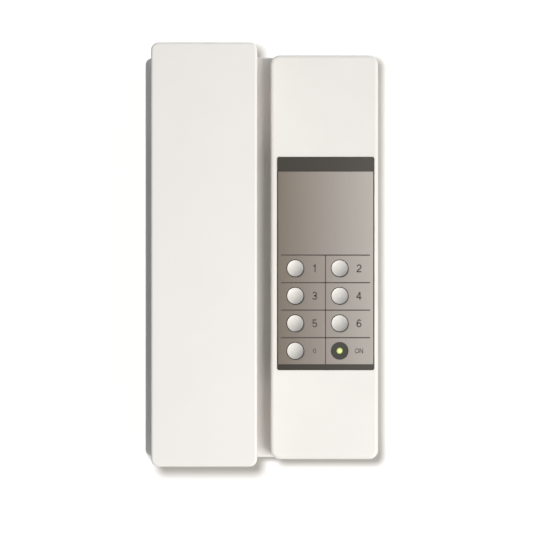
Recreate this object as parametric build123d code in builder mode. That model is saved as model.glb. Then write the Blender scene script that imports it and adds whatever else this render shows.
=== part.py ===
from build123d import *
import math
import os

os.makedirs("parts", exist_ok=True)

# Audio intercom station for a wall: a handset that hangs on a shallow base beside a keypad column.
# Millimetres. X points right, Z points up, and the wall is the plane Y = 0 with the front towards -Y.
# A depth is a distance out from the wall, so it is minus Y.

# Clearances
loose_gap = 0.3
seat_gap = 0.1
thread_gap = 0.06
overrun = 1.0
least_round = 0.2

# Handset, as seen from the front
handset_width = 54.2
handset_length = 216.8
handset_corner = 4.0
handset_edge_round = 1.2
handset_wall = 2.0

# Base, as seen from the front: a margin, the handset, a channel and the column, side by side
cradle_margin = 4.6
channel_width = 6.8
column_width = 56.15
top_overhang = 4.7
bottom_overhang = 2.1
base_left_corner = 4.0
base_right_corner = 5.0
base_wall = 2.5
base_edge_round = 1.0
base_width = cradle_margin + handset_width + channel_width + column_width
base_height = handset_length - top_overhang - bottom_overhang
base_right = base_width / 2
base_top = base_height / 2
column_left = base_right - column_width
column_middle = base_right - column_width / 2
handset_left = cradle_margin - base_right
handset_middle_x = handset_left + handset_width / 2
handset_right = handset_left + handset_width
handset_top = base_top + top_overhang
handset_bottom = -base_top - bottom_overhang
handset_middle_z = (top_overhang - bottom_overhang) / 2

# Depths of the base: back plate, cradle floor, and the column that stands beside the handset
skirt_depth = 0.3
back_plate_depth = 4.0
back_plate_thickness = 2.0
floor_depth = 26.0
column_rise = 16.0
column_draft = 1.0
column_front_wall = 3.0
column_edge_round = 1.8
back_inside_depth = back_plate_depth + back_plate_thickness
floor_inside_depth = floor_depth - base_wall
column_depth = floor_depth + column_rise
column_inside_depth = column_depth - column_front_wall

# Modular sockets for the handset's cord
socket_mouth_width = 7.8
socket_mouth_height = 6.8
socket_mouth_length = 10.5
socket_key_width = 3.4
socket_key_height = 1.2
socket_side_wall = 1.6
socket_thin_wall = 0.7
socket_end_wall = 3.5
socket_column_gap = 0.5
socket_width = socket_mouth_width + 2 * socket_side_wall
socket_height = socket_mouth_height + socket_key_height + 2 * socket_thin_wall
socket_length = socket_mouth_length + socket_end_wall
base_socket_x = column_left - socket_column_gap - socket_width / 2
base_socket_depth = floor_inside_depth - loose_gap - socket_height / 2

# Parting line between rear cover and front housing, with a lip that passes just behind the socket
lip_thickness = 1.0
lip_height = 1.7
lip_inset = base_wall + loose_gap
lip_depth = base_socket_depth - socket_height / 2 - seat_gap
parting_depth = lip_depth - lip_height

# Handset, outwards from the cradle floor
recess_drop = 3.0
pad_height = 1.2
block_gap = 2.5
block_height = 10.5
back_shell_rise = 8.0
front_shell_rise = 11.0
handset_parting_gap = 0.2
end_round = 3.0
notch_round = 1.0
heel_round = 2.0
recess_depth = floor_depth - recess_drop
cup_depth = recess_depth + pad_height + loose_gap
cup_block_depth = floor_depth + block_gap
grip_depth = cup_block_depth + block_height
handset_parting_depth = grip_depth + back_shell_rise
handset_front_depth = handset_parting_depth + front_shell_rise
handset_inside_depth = handset_front_depth - handset_wall

# Ear and mouth cups on the handset's back
ear_cup_side = 7.0
ear_cup_end = 9.0
mouth_cup_side = 10.0
mouth_cup_end = 10.0
cup_edge_round = 1.0
ear_hole_radius = 1.0
ear_hole_rings = 3
ear_ring_step = 3.4
mouth_hole_radius = 0.9
mouth_ring_radius = 3.2
ear_cup_radius = handset_width / 2 - ear_cup_side
mouth_cup_radius = handset_width / 2 - mouth_cup_side
ear_cup_z = handset_top - ear_cup_end - ear_cup_radius
mouth_cup_z = handset_bottom + mouth_cup_end + mouth_cup_radius

# Thick ends behind the cups. The handset leaves its cradle along the ear end's slope, outwards and upwards
ear_block_margin = 2.0
mouth_block_lap = 3.0
lift_slope = 35.0
mouth_slope = 37.0
ear_block_z = ear_cup_z - ear_cup_radius - ear_block_margin
mouth_block_z = mouth_cup_z + mouth_cup_radius - mouth_block_lap
lift_rise = math.tan(math.radians(lift_slope))
lift_stretch = 1 / math.cos(math.radians(lift_slope))
mouth_rise = math.tan(math.radians(mouth_slope))
mouth_stretch = 1 / math.cos(math.radians(mouth_slope))

# Cradle recesses that take the cups, and the rubber pads in them
recess_gap = 1.5
pad_radius = 2.6
pad_count = 3
pad_inset = 4.0
pad_turn = 90.0
ear_recess_radius = ear_cup_radius + recess_gap
mouth_recess_radius = mouth_cup_radius + recess_gap

# Hook switch and its plunger in the ear recess
hook_switch_inset = 8.0
hook_plunger_radius = 2.6
hook_plunger_flange_radius = 4.4
hook_plunger_flange = 1.0
hook_plunger_travel = 3.0
hook_plunger_tail = 3.0
hook_switch_width = 12.8
hook_switch_height = 6.0
hook_button_radius = 1.0
hook_button = 0.6
hook_switch_z = ear_cup_z - ear_cup_radius + hook_switch_inset
hook_tip_depth = cup_depth - loose_gap
plunger_flange_depth = recess_depth - base_wall - hook_plunger_travel - loose_gap
plunger_foot_depth = plunger_flange_depth - hook_plunger_flange - hook_plunger_tail
hook_switch_depth = plunger_foot_depth - loose_gap - hook_button

# Hook peg that the ear end hangs on
peg_width = 16.0
peg_tip_gap = 3.5
peg_tip_thickness = 4.5
peg_foot_drop = 13.0
peg_round = 0.8
tenon_side = 3.0
tenon_height = 6.0
tenon_drop = 7.5
peg_screw_length = 7.0
peg_screw_radius = 1.2
peg_screw_head_radius = 4.0
peg_screw_head = 1.6
peg_tip_depth = grip_depth - peg_tip_gap
peg_foot_z = ear_block_z - peg_foot_drop
tenon_width = peg_width - 2 * tenon_side
tenon_z = ear_block_z - tenon_drop

# Wall bracket of pressed steel
bracket_width = 70.0
bracket_thickness = 1.2
bracket_corner = 4.0
wall_screw_spacing = 83.5
wall_screw_end = 18.25
wall_screw_hole_radius = 2.25
cable_window_width = 30.0
cable_window_height = 22.0
cable_window_drop = 18.0
cable_window_corner = 2.0
tab_width = 8.0
tab_lip = 4.5
tab_side_inset = 8.0
tab_end = 16.0
tab_hook_gap = 21.0
tab_spacing = bracket_width - 2 * tab_side_inset
tab_top = hook_switch_z - hook_switch_height / 2 - tab_hook_gap
bracket_height = 2 * max(tab_top + tab_end, wall_screw_spacing / 2 + wall_screw_end)

# Case screws, driven from the back
case_screw_side_inset = 7.8
case_screw_end_inset = 8.0
case_screw_radius = 1.45
case_screw_head_radius = 2.75
case_screw_head = 2.0
rear_boss_radius = 4.8
post_radius = 3.4
head_seat = 4.0
case_screw_x = base_right - case_screw_side_inset
case_screw_z = base_top - case_screw_end_inset

# Main board between the case posts, and the switches on it
board_left_margin = 6.8
board_right_margin = 5.5
board_top_gap = 23.6
board_bottom_gap = 1.6
board_thickness = 1.6
board_boss_height = 9.0
board_corner = 1.5
switch_side = 6.0
switch_height = 3.5
switch_bore_depth = 2.0
switch_plunger_radius = 1.7
switch_plunger_length = 2.5
switch_plunger_rest = 0.7
key_travel = 0.8
board_screw_inset = 4.0
board_boss_radius = 3.0
board_screw_radius = 1.1
board_screw_head_radius = 2.2
board_screw_head = 1.4
board_screw_length = 7.0
board_top = case_screw_z - post_radius - board_top_gap
board_bottom = post_radius + board_bottom_gap - case_screw_z
board_height = board_top - board_bottom
board_middle_z = (board_top + board_bottom) / 2
board_width = column_width - board_left_margin - board_right_margin
board_left = column_left + board_left_margin
board_depth = column_inside_depth - board_boss_height
board_back_depth = board_depth - board_thickness
switch_plunger_proud = key_travel + switch_plunger_rest

# Key panel: dark frame with a brushed plate let into it
panel_left_margin = 3.55
panel_right_margin = 2.3
panel_top_drop = 18.05
panel_bottom_rise = 33.55
panel_corner = 1.0
panel_proud = 0.3
panel_ledge = 2.4
panel_ledge_drop = 1.6
header_height = 7.5
footer_height = 2.9
panel_side = 0.4
plate_thickness = 0.5
plate_sunk = 0.1
panel_left = column_left + panel_left_margin
panel_top = board_top - panel_top_drop
panel_bottom = board_bottom + panel_bottom_rise
panel_height = panel_top - panel_bottom
panel_width = column_width - panel_left_margin - panel_right_margin
panel_middle_x = panel_left + panel_width / 2
panel_middle_z = (panel_top + panel_bottom) / 2
panel_depth = column_depth + panel_proud
panel_seat_depth = column_depth - panel_ledge_drop
plate_depth = panel_depth - plate_sunk
plate_back_depth = plate_depth - plate_thickness
plate_width = panel_width - 2 * panel_side
plate_height = panel_height - header_height - footer_height
plate_middle_z = panel_middle_z + (footer_height - header_height) / 2

# Keys: two columns of four places, the last of which is the lamp
key_radius = 4.2
key_gap = 0.4
key_left_margin = 9.4
key_right_margin = 17.9
key_bottom_margin = 9.95
key_row_pitch = 14.25
key_rows = 4
key_columns = 2
key_proud = 0.7
key_dome = 0.9
key_flange_lap = 0.7
key_flange = 1.5
key_stem_radius = 2.3
key_hole_radius = key_radius + key_gap
key_flange_radius = key_hole_radius + key_flange_lap
key_first_x = panel_left + key_left_margin
key_first_z = panel_bottom + key_bottom_margin + (key_rows - 1) * key_row_pitch
key_column_pitch = panel_width - key_left_margin - key_right_margin
key_rim_depth = panel_depth + key_proud
key_flange_depth = panel_seat_depth - loose_gap

# Status lamp
lamp_radius = 1.5
lamp_flange_lap = 0.4
lamp_flange = 1.0
lamp_length = 6.0
lamp_proud = 0.3
lamp_spacer_radius = 2.4
lamp_lead_radius = 0.3
lamp_lead_pitch = 2.0
collar_sunk = 0.2
lamp_flange_radius = lamp_radius + lamp_flange_lap
lamp_tip_depth = panel_depth + lamp_proud
lamp_base_depth = lamp_tip_depth - lamp_length
collar_radius = key_hole_radius - seat_gap
collar_hole_radius = lamp_radius + seat_gap
collar_depth = panel_depth - collar_sunk

# Call speaker behind the cradle floor
speaker_z = 0.0
speaker_radius = 20.0
speaker_height = 8.0
speaker_rim = 1.2
speaker_rim_width = 2.5
basket_wall = 0.8
basket_back_radius = 11.0
magnet_inset = 2.5
magnet_thickness = 6.0
cone_thickness = 0.4
cone_clear = 0.6
cone_rise = 2.5
cone_cap_radius = 5.5
speaker_rib = 1.6
speaker_rib_height = 3.0
grille_slots = 7
grille_slot_width = 2.0
grille_slot_inset = 7.0
grille_pitch = 4.4
speaker_x = handset_middle_x
basket_depth = floor_inside_depth - speaker_height
magnet_radius = basket_back_radius - magnet_inset
magnet_depth = basket_depth - magnet_thickness
cone_back_depth = basket_depth + cone_rise
grille_slot_length = 2 * (speaker_radius - grille_slot_inset)

# Terminal block for the building's wires
terminal_count = 4
terminal_pitch = 9.0
terminal_depth_size = 9.0
terminal_height = 11.0
terminal_bottom_margin = 45.0
terminal_well_radius = 2.6
terminal_well = 3.0
terminal_screw_radius = 2.3
terminal_screw_head = 1.5
terminal_screw_length = 4.0
terminal_screw_shank = 1.3
terminal_slot_width = 0.6
terminal_mouth_width = 4.4
terminal_mouth_height = 3.0
terminal_mouth_length = 4.0
terminal_x = handset_middle_x
terminal_z = terminal_bottom_margin - base_top

# Parts on the back of the main board, from the top down
transformer_width = 20.0
transformer_height = 17.0
transformer_depth_size = 15.0
transformer_drop = 22.0
core_margin = 3.0
capacitor_radius = 4.0
capacitor_length = 11.0
capacitor_pitch = 11.0
capacitor_count = 3
capacitor_drop = 24.0
chip_width = 9.5
chip_height = 6.4
chip_depth_size = 3.4
chip_pitch = 18.0
chip_count = 3
chip_drop = 46.0
transformer_z = board_top - transformer_drop
capacitor_z = transformer_z - capacitor_drop
chip_z = capacitor_z - chip_drop

# Inside the handset
gasket_thickness = 0.8
gasket_width = 3.0
receiver_gap = 1.0
receiver_rim = 3.0
receiver_rim_width = 4.0
receiver_body = 6.0
microphone_radius = 4.8
microphone_length = 6.5
boot_wall = 1.5
boot_floor = 0.8
boot_lip = 0.6
rib_wall = 1.2
rib_height = 5.0
upper_screw_drop = 11.0
lower_screw_rise = 21.0
handset_screw_radius = 1.2
handset_screw_head_radius = 2.5
handset_screw_head = 1.6
handset_screw_length = 12.0
handset_boss_radius = 4.2
handset_head_seat = 2.0
ballast_width = 16.0
ballast_end_gap = 13.0
ballast_thickness = 7.0
ballast_round = 1.0
socket_parting_gap = 0.5
receiver_radius = ear_cup_radius - handset_wall - receiver_gap
receiver_body_radius = receiver_radius - receiver_rim_width
upper_screw_z = ear_block_z - upper_screw_drop
lower_screw_z = mouth_block_z + lower_screw_rise
ballast_length = upper_screw_z - lower_screw_z - 2 * ballast_end_gap
handset_socket_depth = handset_parting_depth - socket_parting_gap

# Connectors on the back of the board, and the insulated wires that run to them
wire_radius = 0.5
wire_pitch = 2.4
wire_bend = 2.0
wire_sweep = 12.0
wire_drop = 5.0
back_wire_gap = 3.0
connector_width = 5.0
connector_depth_size = 6.0
connector_side = 1.6
speaker_connector_rise = 4.0
hook_connector_drop = 16.0
socket_connector_shift = 9.0
handset_wire_side = 8.0
handset_wire_gap = 3.0
connector_x = board_left + board_screw_inset
connector_depth = board_back_depth - connector_depth_size
socket_connector_x = connector_x + socket_connector_shift
speaker_wires_z = speaker_z + speaker_connector_rise
hook_wires_z = board_top - hook_connector_drop
back_wire_depth = back_inside_depth + back_wire_gap
handset_wire_depth = handset_parting_depth - handset_wire_gap


def facing(depth):
    """Plane parallel to the wall at this distance out. A sketch on it reads in X and Z."""
    return Plane.XZ.offset(depth)


def draw_base_outline(inset):
    """Outline of the base seen from the front, drawn this far inside its edge."""
    Rectangle(base_width - 2 * inset, base_height - 2 * inset)
    fillet(vertices().group_by(Axis.X)[0], max(base_left_corner - inset, least_round))
    fillet(vertices().group_by(Axis.X)[-1], max(base_right_corner - inset, least_round))


def draw_column_outline(inset):
    """Outline of the column at the cradle floor, drawn this far inside its edge."""
    corner = max(base_right_corner - inset, least_round)
    with Locations((column_middle, 0)):
        RectangleRounded(column_width - 2 * inset, base_height - 2 * inset, corner)


def draw_handset_outline(inset):
    """Outline of the handset seen from the front, drawn this far inside its edge."""
    corner = max(handset_corner - inset, least_round)
    with Locations((handset_middle_x, handset_middle_z)):
        RectangleRounded(handset_width - 2 * inset, handset_length - 2 * inset, corner)


def draw_socket_body(middle_x, middle_depth, margin):
    """Section across a modular socket's body, this much larger all round."""
    with Locations((middle_x, -middle_depth)):
        Rectangle(socket_width + 2 * margin, socket_height + 2 * margin)


def draw_socket_mouth(middle_x, middle_depth):
    """Section across a modular socket's mouth, with the channel for the plug's latch."""
    with Locations((middle_x, -middle_depth + socket_key_height / 2)):
        Rectangle(socket_mouth_width, socket_mouth_height)
    with Locations((middle_x, -middle_depth - socket_mouth_height / 2)):
        Rectangle(socket_key_width, socket_key_height)


def key_place(row, column):
    """Centre of a key in X and Z."""
    return (key_first_x + column * key_column_pitch, key_first_z - row * key_row_pitch)


def back_shell_points(inset, open_depth):
    """Side outline of the handset's back half, in Y and Z, this far inside its outer surface."""
    block = cup_block_depth + inset
    grip = grip_depth + inset
    ear_low = ear_block_z + inset * lift_rise + inset * lift_stretch
    ear_high = ear_low + (grip - block) * lift_rise
    mouth_low = mouth_block_z + inset * mouth_rise - inset * mouth_stretch
    mouth_high = mouth_low + (grip - block) * mouth_rise
    return [
        (-open_depth, handset_top - inset),
        (-block, handset_top - inset),
        (-block, ear_low),
        (-grip, ear_high),
        (-grip, mouth_high),
        (-block, mouth_low),
        (-block, handset_bottom + inset),
        (-open_depth, handset_bottom + inset),
    ]


def add_wire(points, bends):
    """Insulated wire through these points, with its corners rounded, in the part being built."""
    with BuildLine() as route:
        FilletPolyline(*points, radius=bends)
    with BuildSketch(Plane(origin=route.line @ 0, z_dir=route.line % 0)) as section:
        Circle(wire_radius)
    sweep(section.sketch, path=route.line)


def spread(count, index, pitch):
    """Place of one of a row of things about the row's middle."""
    return (index - (count - 1) / 2) * pitch


def corners_at(points, indexes):
    """Sketch vertices that lie on the chosen points of an outline."""
    chosen = [Vector(*points[index]) for index in indexes]
    return [v for v in vertices() if any((Vector(v) - point).length < seat_gap for point in chosen)]


# Wall bracket
leg_tops = [tab_top, -tab_top]
tab_lip_depth = back_inside_depth + loose_gap
with BuildPart() as wall_bracket:
    with BuildSketch(facing(0)):
        RectangleRounded(bracket_width, bracket_height, bracket_corner)
        with Locations((0, -cable_window_drop)):
            RectangleRounded(cable_window_width, cable_window_height, cable_window_corner, mode=Mode.SUBTRACT)
        with GridLocations(0, wall_screw_spacing, 1, 2):
            Circle(wall_screw_hole_radius, mode=Mode.SUBTRACT)
    extrude(amount=bracket_thickness)
    for leg_top in leg_tops:
        with BuildSketch(facing(0)):
            with Locations((0, leg_top - bracket_thickness / 2)):
                with GridLocations(tab_spacing, 0, 2, 1):
                    Rectangle(tab_width, bracket_thickness)
        extrude(amount=tab_lip_depth + bracket_thickness)
        with BuildSketch(facing(tab_lip_depth)):
            with Locations((0, leg_top + tab_lip / 2)):
                with GridLocations(tab_spacing, 0, 2, 1):
                    Rectangle(tab_width, tab_lip)
        extrude(amount=bracket_thickness)
wall_bracket.part.label = "wall_bracket"
export_step(wall_bracket.part, "parts/wall_bracket.step")

# Rear cover: skirt, back plate, walls, locating lip, screw bosses and slots for the bracket's tabs
case_screw_places = [(side * case_screw_x, end * case_screw_z) for side in (-1, 1) for end in (-1, 1)]
tab_slot_height = bracket_thickness + tab_lip + 2 * loose_gap
with BuildPart() as rear_cover:
    with BuildSketch(facing(skirt_depth)):
        draw_base_outline(0)
    extrude(amount=parting_depth - loose_gap - skirt_depth)
    with BuildSketch(facing(skirt_depth)):
        draw_base_outline(base_wall)
    extrude(amount=back_plate_depth - skirt_depth, mode=Mode.SUBTRACT)
    with BuildSketch(facing(back_inside_depth)):
        draw_base_outline(base_wall)
    extrude(amount=parting_depth - back_inside_depth, mode=Mode.SUBTRACT)
    with BuildSketch(facing(back_inside_depth)):
        draw_base_outline(base_wall)
        with BuildSketch(mode=Mode.SUBTRACT):
            draw_base_outline(lip_inset + lip_thickness)
    extrude(amount=parting_depth - loose_gap - back_inside_depth)
    with BuildSketch(facing(back_inside_depth)):
        draw_base_outline(lip_inset)
        with BuildSketch(mode=Mode.SUBTRACT):
            draw_base_outline(lip_inset + lip_thickness)
    extrude(amount=lip_depth - back_inside_depth)
    with BuildSketch(facing(back_inside_depth)):
        with Locations(*case_screw_places):
            Circle(rear_boss_radius)
    extrude(amount=lip_depth - back_inside_depth)
    with BuildSketch(facing(back_plate_depth)):
        with Locations(*case_screw_places):
            Circle(case_screw_head_radius + loose_gap)
    extrude(amount=head_seat, mode=Mode.SUBTRACT)
    with BuildSketch(facing(back_plate_depth)):
        with Locations(*case_screw_places):
            Circle(case_screw_radius + loose_gap)
    extrude(amount=lip_depth, mode=Mode.SUBTRACT)
    with BuildSketch(facing(back_plate_depth - overrun)):
        with Locations((0, -cable_window_drop)):
            RectangleRounded(cable_window_width, cable_window_height, cable_window_corner)
        for leg_top in leg_tops:
            with Locations((0, leg_top + seat_gap - tab_slot_height / 2)):
                with GridLocations(tab_spacing, 0, 2, 1):
                    Rectangle(tab_width + 2 * loose_gap, tab_slot_height)
    extrude(amount=back_plate_thickness + 2 * overrun, mode=Mode.SUBTRACT)
rear_cover.part.label = "rear_cover"
export_step(rear_cover.part, "parts/rear_cover.step")

# Front housing: one moulding with the cradle floor, its recesses, and the hollow column
post_depth = lip_depth + loose_gap
board_screw_places = [
    (screw_x, screw_z)
    for screw_x in (board_left + board_screw_inset, board_left + board_width - board_screw_inset)
    for screw_z in (board_bottom + board_screw_inset, board_top - board_screw_inset)
]
with BuildPart() as front_housing:
    with BuildSketch(facing(parting_depth)):
        draw_base_outline(0)
    extrude(amount=floor_depth - parting_depth)
    fillet(front_housing.faces().sort_by(Axis.Y)[0].edges(), base_edge_round)
    with BuildSketch(facing(floor_depth - base_wall)):
        draw_column_outline(0)
    extrude(amount=base_wall)
    with BuildSketch(facing(floor_depth)):
        draw_column_outline(0)
    extrude(amount=column_depth - floor_depth, taper=column_draft)
    fillet(front_housing.faces().sort_by(Axis.Y)[0].edges(), column_edge_round)
    with BuildSketch(facing(parting_depth)):
        draw_base_outline(base_wall)
    extrude(amount=floor_inside_depth - parting_depth, mode=Mode.SUBTRACT)
    with BuildSketch(facing(floor_inside_depth)):
        draw_column_outline(base_wall)
    extrude(amount=column_inside_depth - floor_inside_depth, taper=column_draft, mode=Mode.SUBTRACT)
    # walls of the two recesses, seen from inside
    with BuildSketch(facing(recess_depth - base_wall)):
        with Locations((handset_middle_x, ear_cup_z)):
            Circle(ear_recess_radius + base_wall)
        with Locations((handset_middle_x, mouth_cup_z)):
            Circle(mouth_recess_radius + base_wall)
    extrude(amount=floor_inside_depth - recess_depth + base_wall)
    with BuildSketch(facing(recess_depth)):
        with Locations((handset_middle_x, ear_cup_z)):
            Circle(ear_recess_radius)
        with Locations((handset_middle_x, mouth_cup_z)):
            Circle(mouth_recess_radius)
    extrude(amount=floor_depth - recess_depth, mode=Mode.SUBTRACT)
    # hole for the hook plunger
    with BuildSketch(facing(recess_depth - base_wall)):
        with Locations((handset_middle_x, hook_switch_z)):
            Circle(hook_plunger_radius + loose_gap)
    extrude(amount=base_wall, mode=Mode.SUBTRACT)
    # slot for the hook peg's tenon
    with BuildSketch(facing(floor_inside_depth)):
        with Locations((handset_middle_x, tenon_z)):
            Rectangle(tenon_width + 2 * seat_gap, tenon_height + 2 * seat_gap)
    extrude(amount=base_wall, mode=Mode.SUBTRACT)
    # call speaker: slots in the floor and a rib that holds the basket
    with BuildSketch(facing(floor_inside_depth)):
        with Locations((speaker_x, speaker_z)):
            with GridLocations(0, grille_pitch, 1, grille_slots):
                SlotOverall(grille_slot_length, grille_slot_width)
    extrude(amount=base_wall, mode=Mode.SUBTRACT)
    with BuildSketch(facing(floor_inside_depth)):
        with Locations((speaker_x, speaker_z)):
            Circle(speaker_radius + loose_gap + speaker_rib)
            Circle(speaker_radius + loose_gap, mode=Mode.SUBTRACT)
    extrude(amount=-speaker_rib_height)
    # case posts
    with BuildSketch(facing(post_depth)):
        with Locations(*[place for place in case_screw_places if place[0] < 0]):
            Circle(post_radius)
    extrude(amount=floor_inside_depth - post_depth)
    with BuildSketch(facing(post_depth)):
        with Locations(*[place for place in case_screw_places if place[0] > 0]):
            Circle(post_radius)
    extrude(amount=column_inside_depth - post_depth)
    with BuildSketch(facing(post_depth)):
        with Locations(*case_screw_places):
            Circle(case_screw_radius + thread_gap)
    extrude(amount=floor_inside_depth - post_depth, mode=Mode.SUBTRACT)
    # board bosses
    with BuildSketch(facing(board_depth)):
        with Locations(*board_screw_places):
            Circle(board_boss_radius)
            Circle(board_screw_radius + thread_gap, mode=Mode.SUBTRACT)
    extrude(amount=column_inside_depth - board_depth)
    # window for the key panel, with a ledge round it
    with BuildSketch(facing(panel_seat_depth)):
        with Locations((panel_middle_x, panel_middle_z)):
            RectangleRounded(panel_width + 2 * seat_gap, panel_height + 2 * seat_gap, panel_corner + seat_gap)
    extrude(amount=column_depth - panel_seat_depth + overrun, mode=Mode.SUBTRACT)
    with BuildSketch(facing(column_inside_depth - overrun)):
        with Locations((panel_middle_x, panel_middle_z)):
            Rectangle(panel_width - 2 * panel_ledge, panel_height - 2 * panel_ledge)
    extrude(amount=column_front_wall + overrun, mode=Mode.SUBTRACT)
    # opening for the base's cord socket
    with BuildSketch(Plane.XY.offset(-base_top - overrun)):
        draw_socket_body(base_socket_x, base_socket_depth, seat_gap)
    extrude(amount=base_wall + 2 * overrun, mode=Mode.SUBTRACT)
front_housing.part.label = "front_housing"
export_step(front_housing.part, "parts/front_housing.step")

# Hook peg: a sloping tongue under the ear block, with a tenon through the floor
peg_clearance = loose_gap * lift_stretch
peg_root_z = ear_block_z + (floor_depth - cup_block_depth) * lift_rise - peg_clearance
peg_tip_z = ear_block_z + (peg_tip_depth - cup_block_depth) * lift_rise - peg_clearance
with BuildPart() as hook_peg:
    with BuildSketch(Plane.YZ.offset(handset_middle_x - peg_width / 2)):
        with BuildLine():
            Polyline(
                (-floor_depth, peg_foot_z),
                (-floor_depth, peg_root_z),
                (-peg_tip_depth, peg_tip_z),
                (-peg_tip_depth, peg_tip_z - peg_tip_thickness),
                close=True,
            )
        make_face()
    extrude(amount=peg_width)
    fillet(hook_peg.faces().sort_by(Axis.Y)[0].edges(), peg_round)
    with BuildSketch(facing(floor_inside_depth)):
        with Locations((handset_middle_x, tenon_z)):
            Rectangle(tenon_width, tenon_height)
    extrude(amount=base_wall)
    with BuildSketch(facing(floor_inside_depth)):
        with Locations((handset_middle_x, tenon_z)):
            Circle(peg_screw_radius + thread_gap)
    extrude(amount=peg_screw_length + seat_gap, mode=Mode.SUBTRACT)
hook_peg.part.label = "hook_peg"
export_step(hook_peg.part, "parts/hook_peg.step")

with BuildPart() as hook_peg_screw:
    with BuildSketch(facing(floor_inside_depth - peg_screw_head)):
        with Locations((handset_middle_x, tenon_z)):
            Circle(peg_screw_head_radius)
    extrude(amount=peg_screw_head)
    with BuildSketch(facing(floor_inside_depth)):
        with Locations((handset_middle_x, tenon_z)):
            Circle(peg_screw_radius)
    extrude(amount=peg_screw_length)
hook_peg_screw.part.label = "hook_peg_screw"
export_step(hook_peg_screw.part, "parts/hook_peg_screw.step")

# Rubber pads that the cups rest on
with BuildPart() as cradle_pads:
    with BuildSketch(facing(recess_depth)):
        with Locations((handset_middle_x, ear_cup_z)):
            with PolarLocations(ear_cup_radius - pad_inset, pad_count, start_angle=pad_turn):
                Circle(pad_radius)
        with Locations((handset_middle_x, mouth_cup_z)):
            with PolarLocations(mouth_cup_radius - pad_inset, pad_count, start_angle=pad_turn):
                Circle(pad_radius)
    extrude(amount=pad_height)
cradle_pads.part.label = "cradle_pads"
export_step(cradle_pads.part, "parts/cradle_pads.step")

# Dark frame of the key panel
key_places = [key_place(row, column) for row in range(key_rows) for column in range(key_columns)]
lamp_place = key_places[-1]
with BuildPart() as panel_bezel:
    with BuildSketch(facing(panel_seat_depth)):
        with Locations((panel_middle_x, panel_middle_z)):
            RectangleRounded(panel_width, panel_height, panel_corner)
    extrude(amount=panel_depth - panel_seat_depth)
    with BuildSketch(facing(plate_back_depth)):
        with Locations((panel_middle_x, plate_middle_z)):
            Rectangle(plate_width, plate_height)
    extrude(amount=panel_depth - plate_back_depth, mode=Mode.SUBTRACT)
    with BuildSketch(facing(panel_seat_depth)):
        with Locations(*key_places):
            Circle(key_hole_radius)
    extrude(amount=plate_back_depth - panel_seat_depth, mode=Mode.SUBTRACT)
panel_bezel.part.label = "panel_bezel"
export_step(panel_bezel.part, "parts/panel_bezel.step")

# Brushed plate with the key holes
with BuildPart() as panel_plate:
    with BuildSketch(facing(plate_back_depth)):
        with Locations((panel_middle_x, plate_middle_z)):
            Rectangle(plate_width - 2 * seat_gap, plate_height - 2 * seat_gap)
        with Locations(*key_places):
            Circle(key_hole_radius, mode=Mode.SUBTRACT)
    extrude(amount=plate_thickness)
panel_plate.part.label = "panel_plate"
export_step(panel_plate.part, "parts/panel_plate.step")

# Main board
with BuildPart() as main_board:
    with BuildSketch(facing(board_back_depth)):
        with Locations((panel_middle_x, board_middle_z)):
            RectangleRounded(board_width, board_height, board_corner)
        with Locations(*board_screw_places):
            Circle(board_screw_radius + loose_gap, mode=Mode.SUBTRACT)
    extrude(amount=board_thickness)
main_board.part.label = "main_board"
export_step(main_board.part, "parts/main_board.step")

with BuildPart() as board_screws:
    with BuildSketch(facing(board_back_depth - board_screw_head)):
        with Locations(*board_screw_places):
            Circle(board_screw_head_radius)
    extrude(amount=board_screw_head)
    with BuildSketch(facing(board_back_depth)):
        with Locations(*board_screw_places):
            Circle(board_screw_radius)
    extrude(amount=board_screw_length)
board_screws.part.label = "board_screws"
export_step(board_screws.part, "parts/board_screws.step")

# Case screws
with BuildPart() as case_screws:
    with BuildSketch(facing(back_plate_depth + head_seat - case_screw_head)):
        with Locations(*case_screw_places):
            Circle(case_screw_head_radius)
    extrude(amount=case_screw_head)
    with BuildSketch(facing(back_plate_depth + head_seat)):
        with Locations(*case_screw_places):
            Circle(case_screw_radius)
    extrude(amount=floor_inside_depth - back_plate_depth - head_seat - seat_gap)
case_screws.part.label = "case_screws"
export_step(case_screws.part, "parts/case_screws.step")

# Press switches on the board, one behind each key
switch_places = key_places[:-1]
switch_top_depth = board_depth + switch_height
with BuildPart() as press_switches:
    with BuildSketch(facing(board_depth)):
        with Locations(*switch_places):
            Rectangle(switch_side, switch_side)
    extrude(amount=switch_height)
    with BuildSketch(facing(switch_top_depth)):
        with Locations(*switch_places):
            Circle(switch_plunger_radius + seat_gap)
    extrude(amount=-switch_bore_depth, mode=Mode.SUBTRACT)
press_switches.part.label = "press_switches"
export_step(press_switches.part, "parts/press_switches.step")

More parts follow.
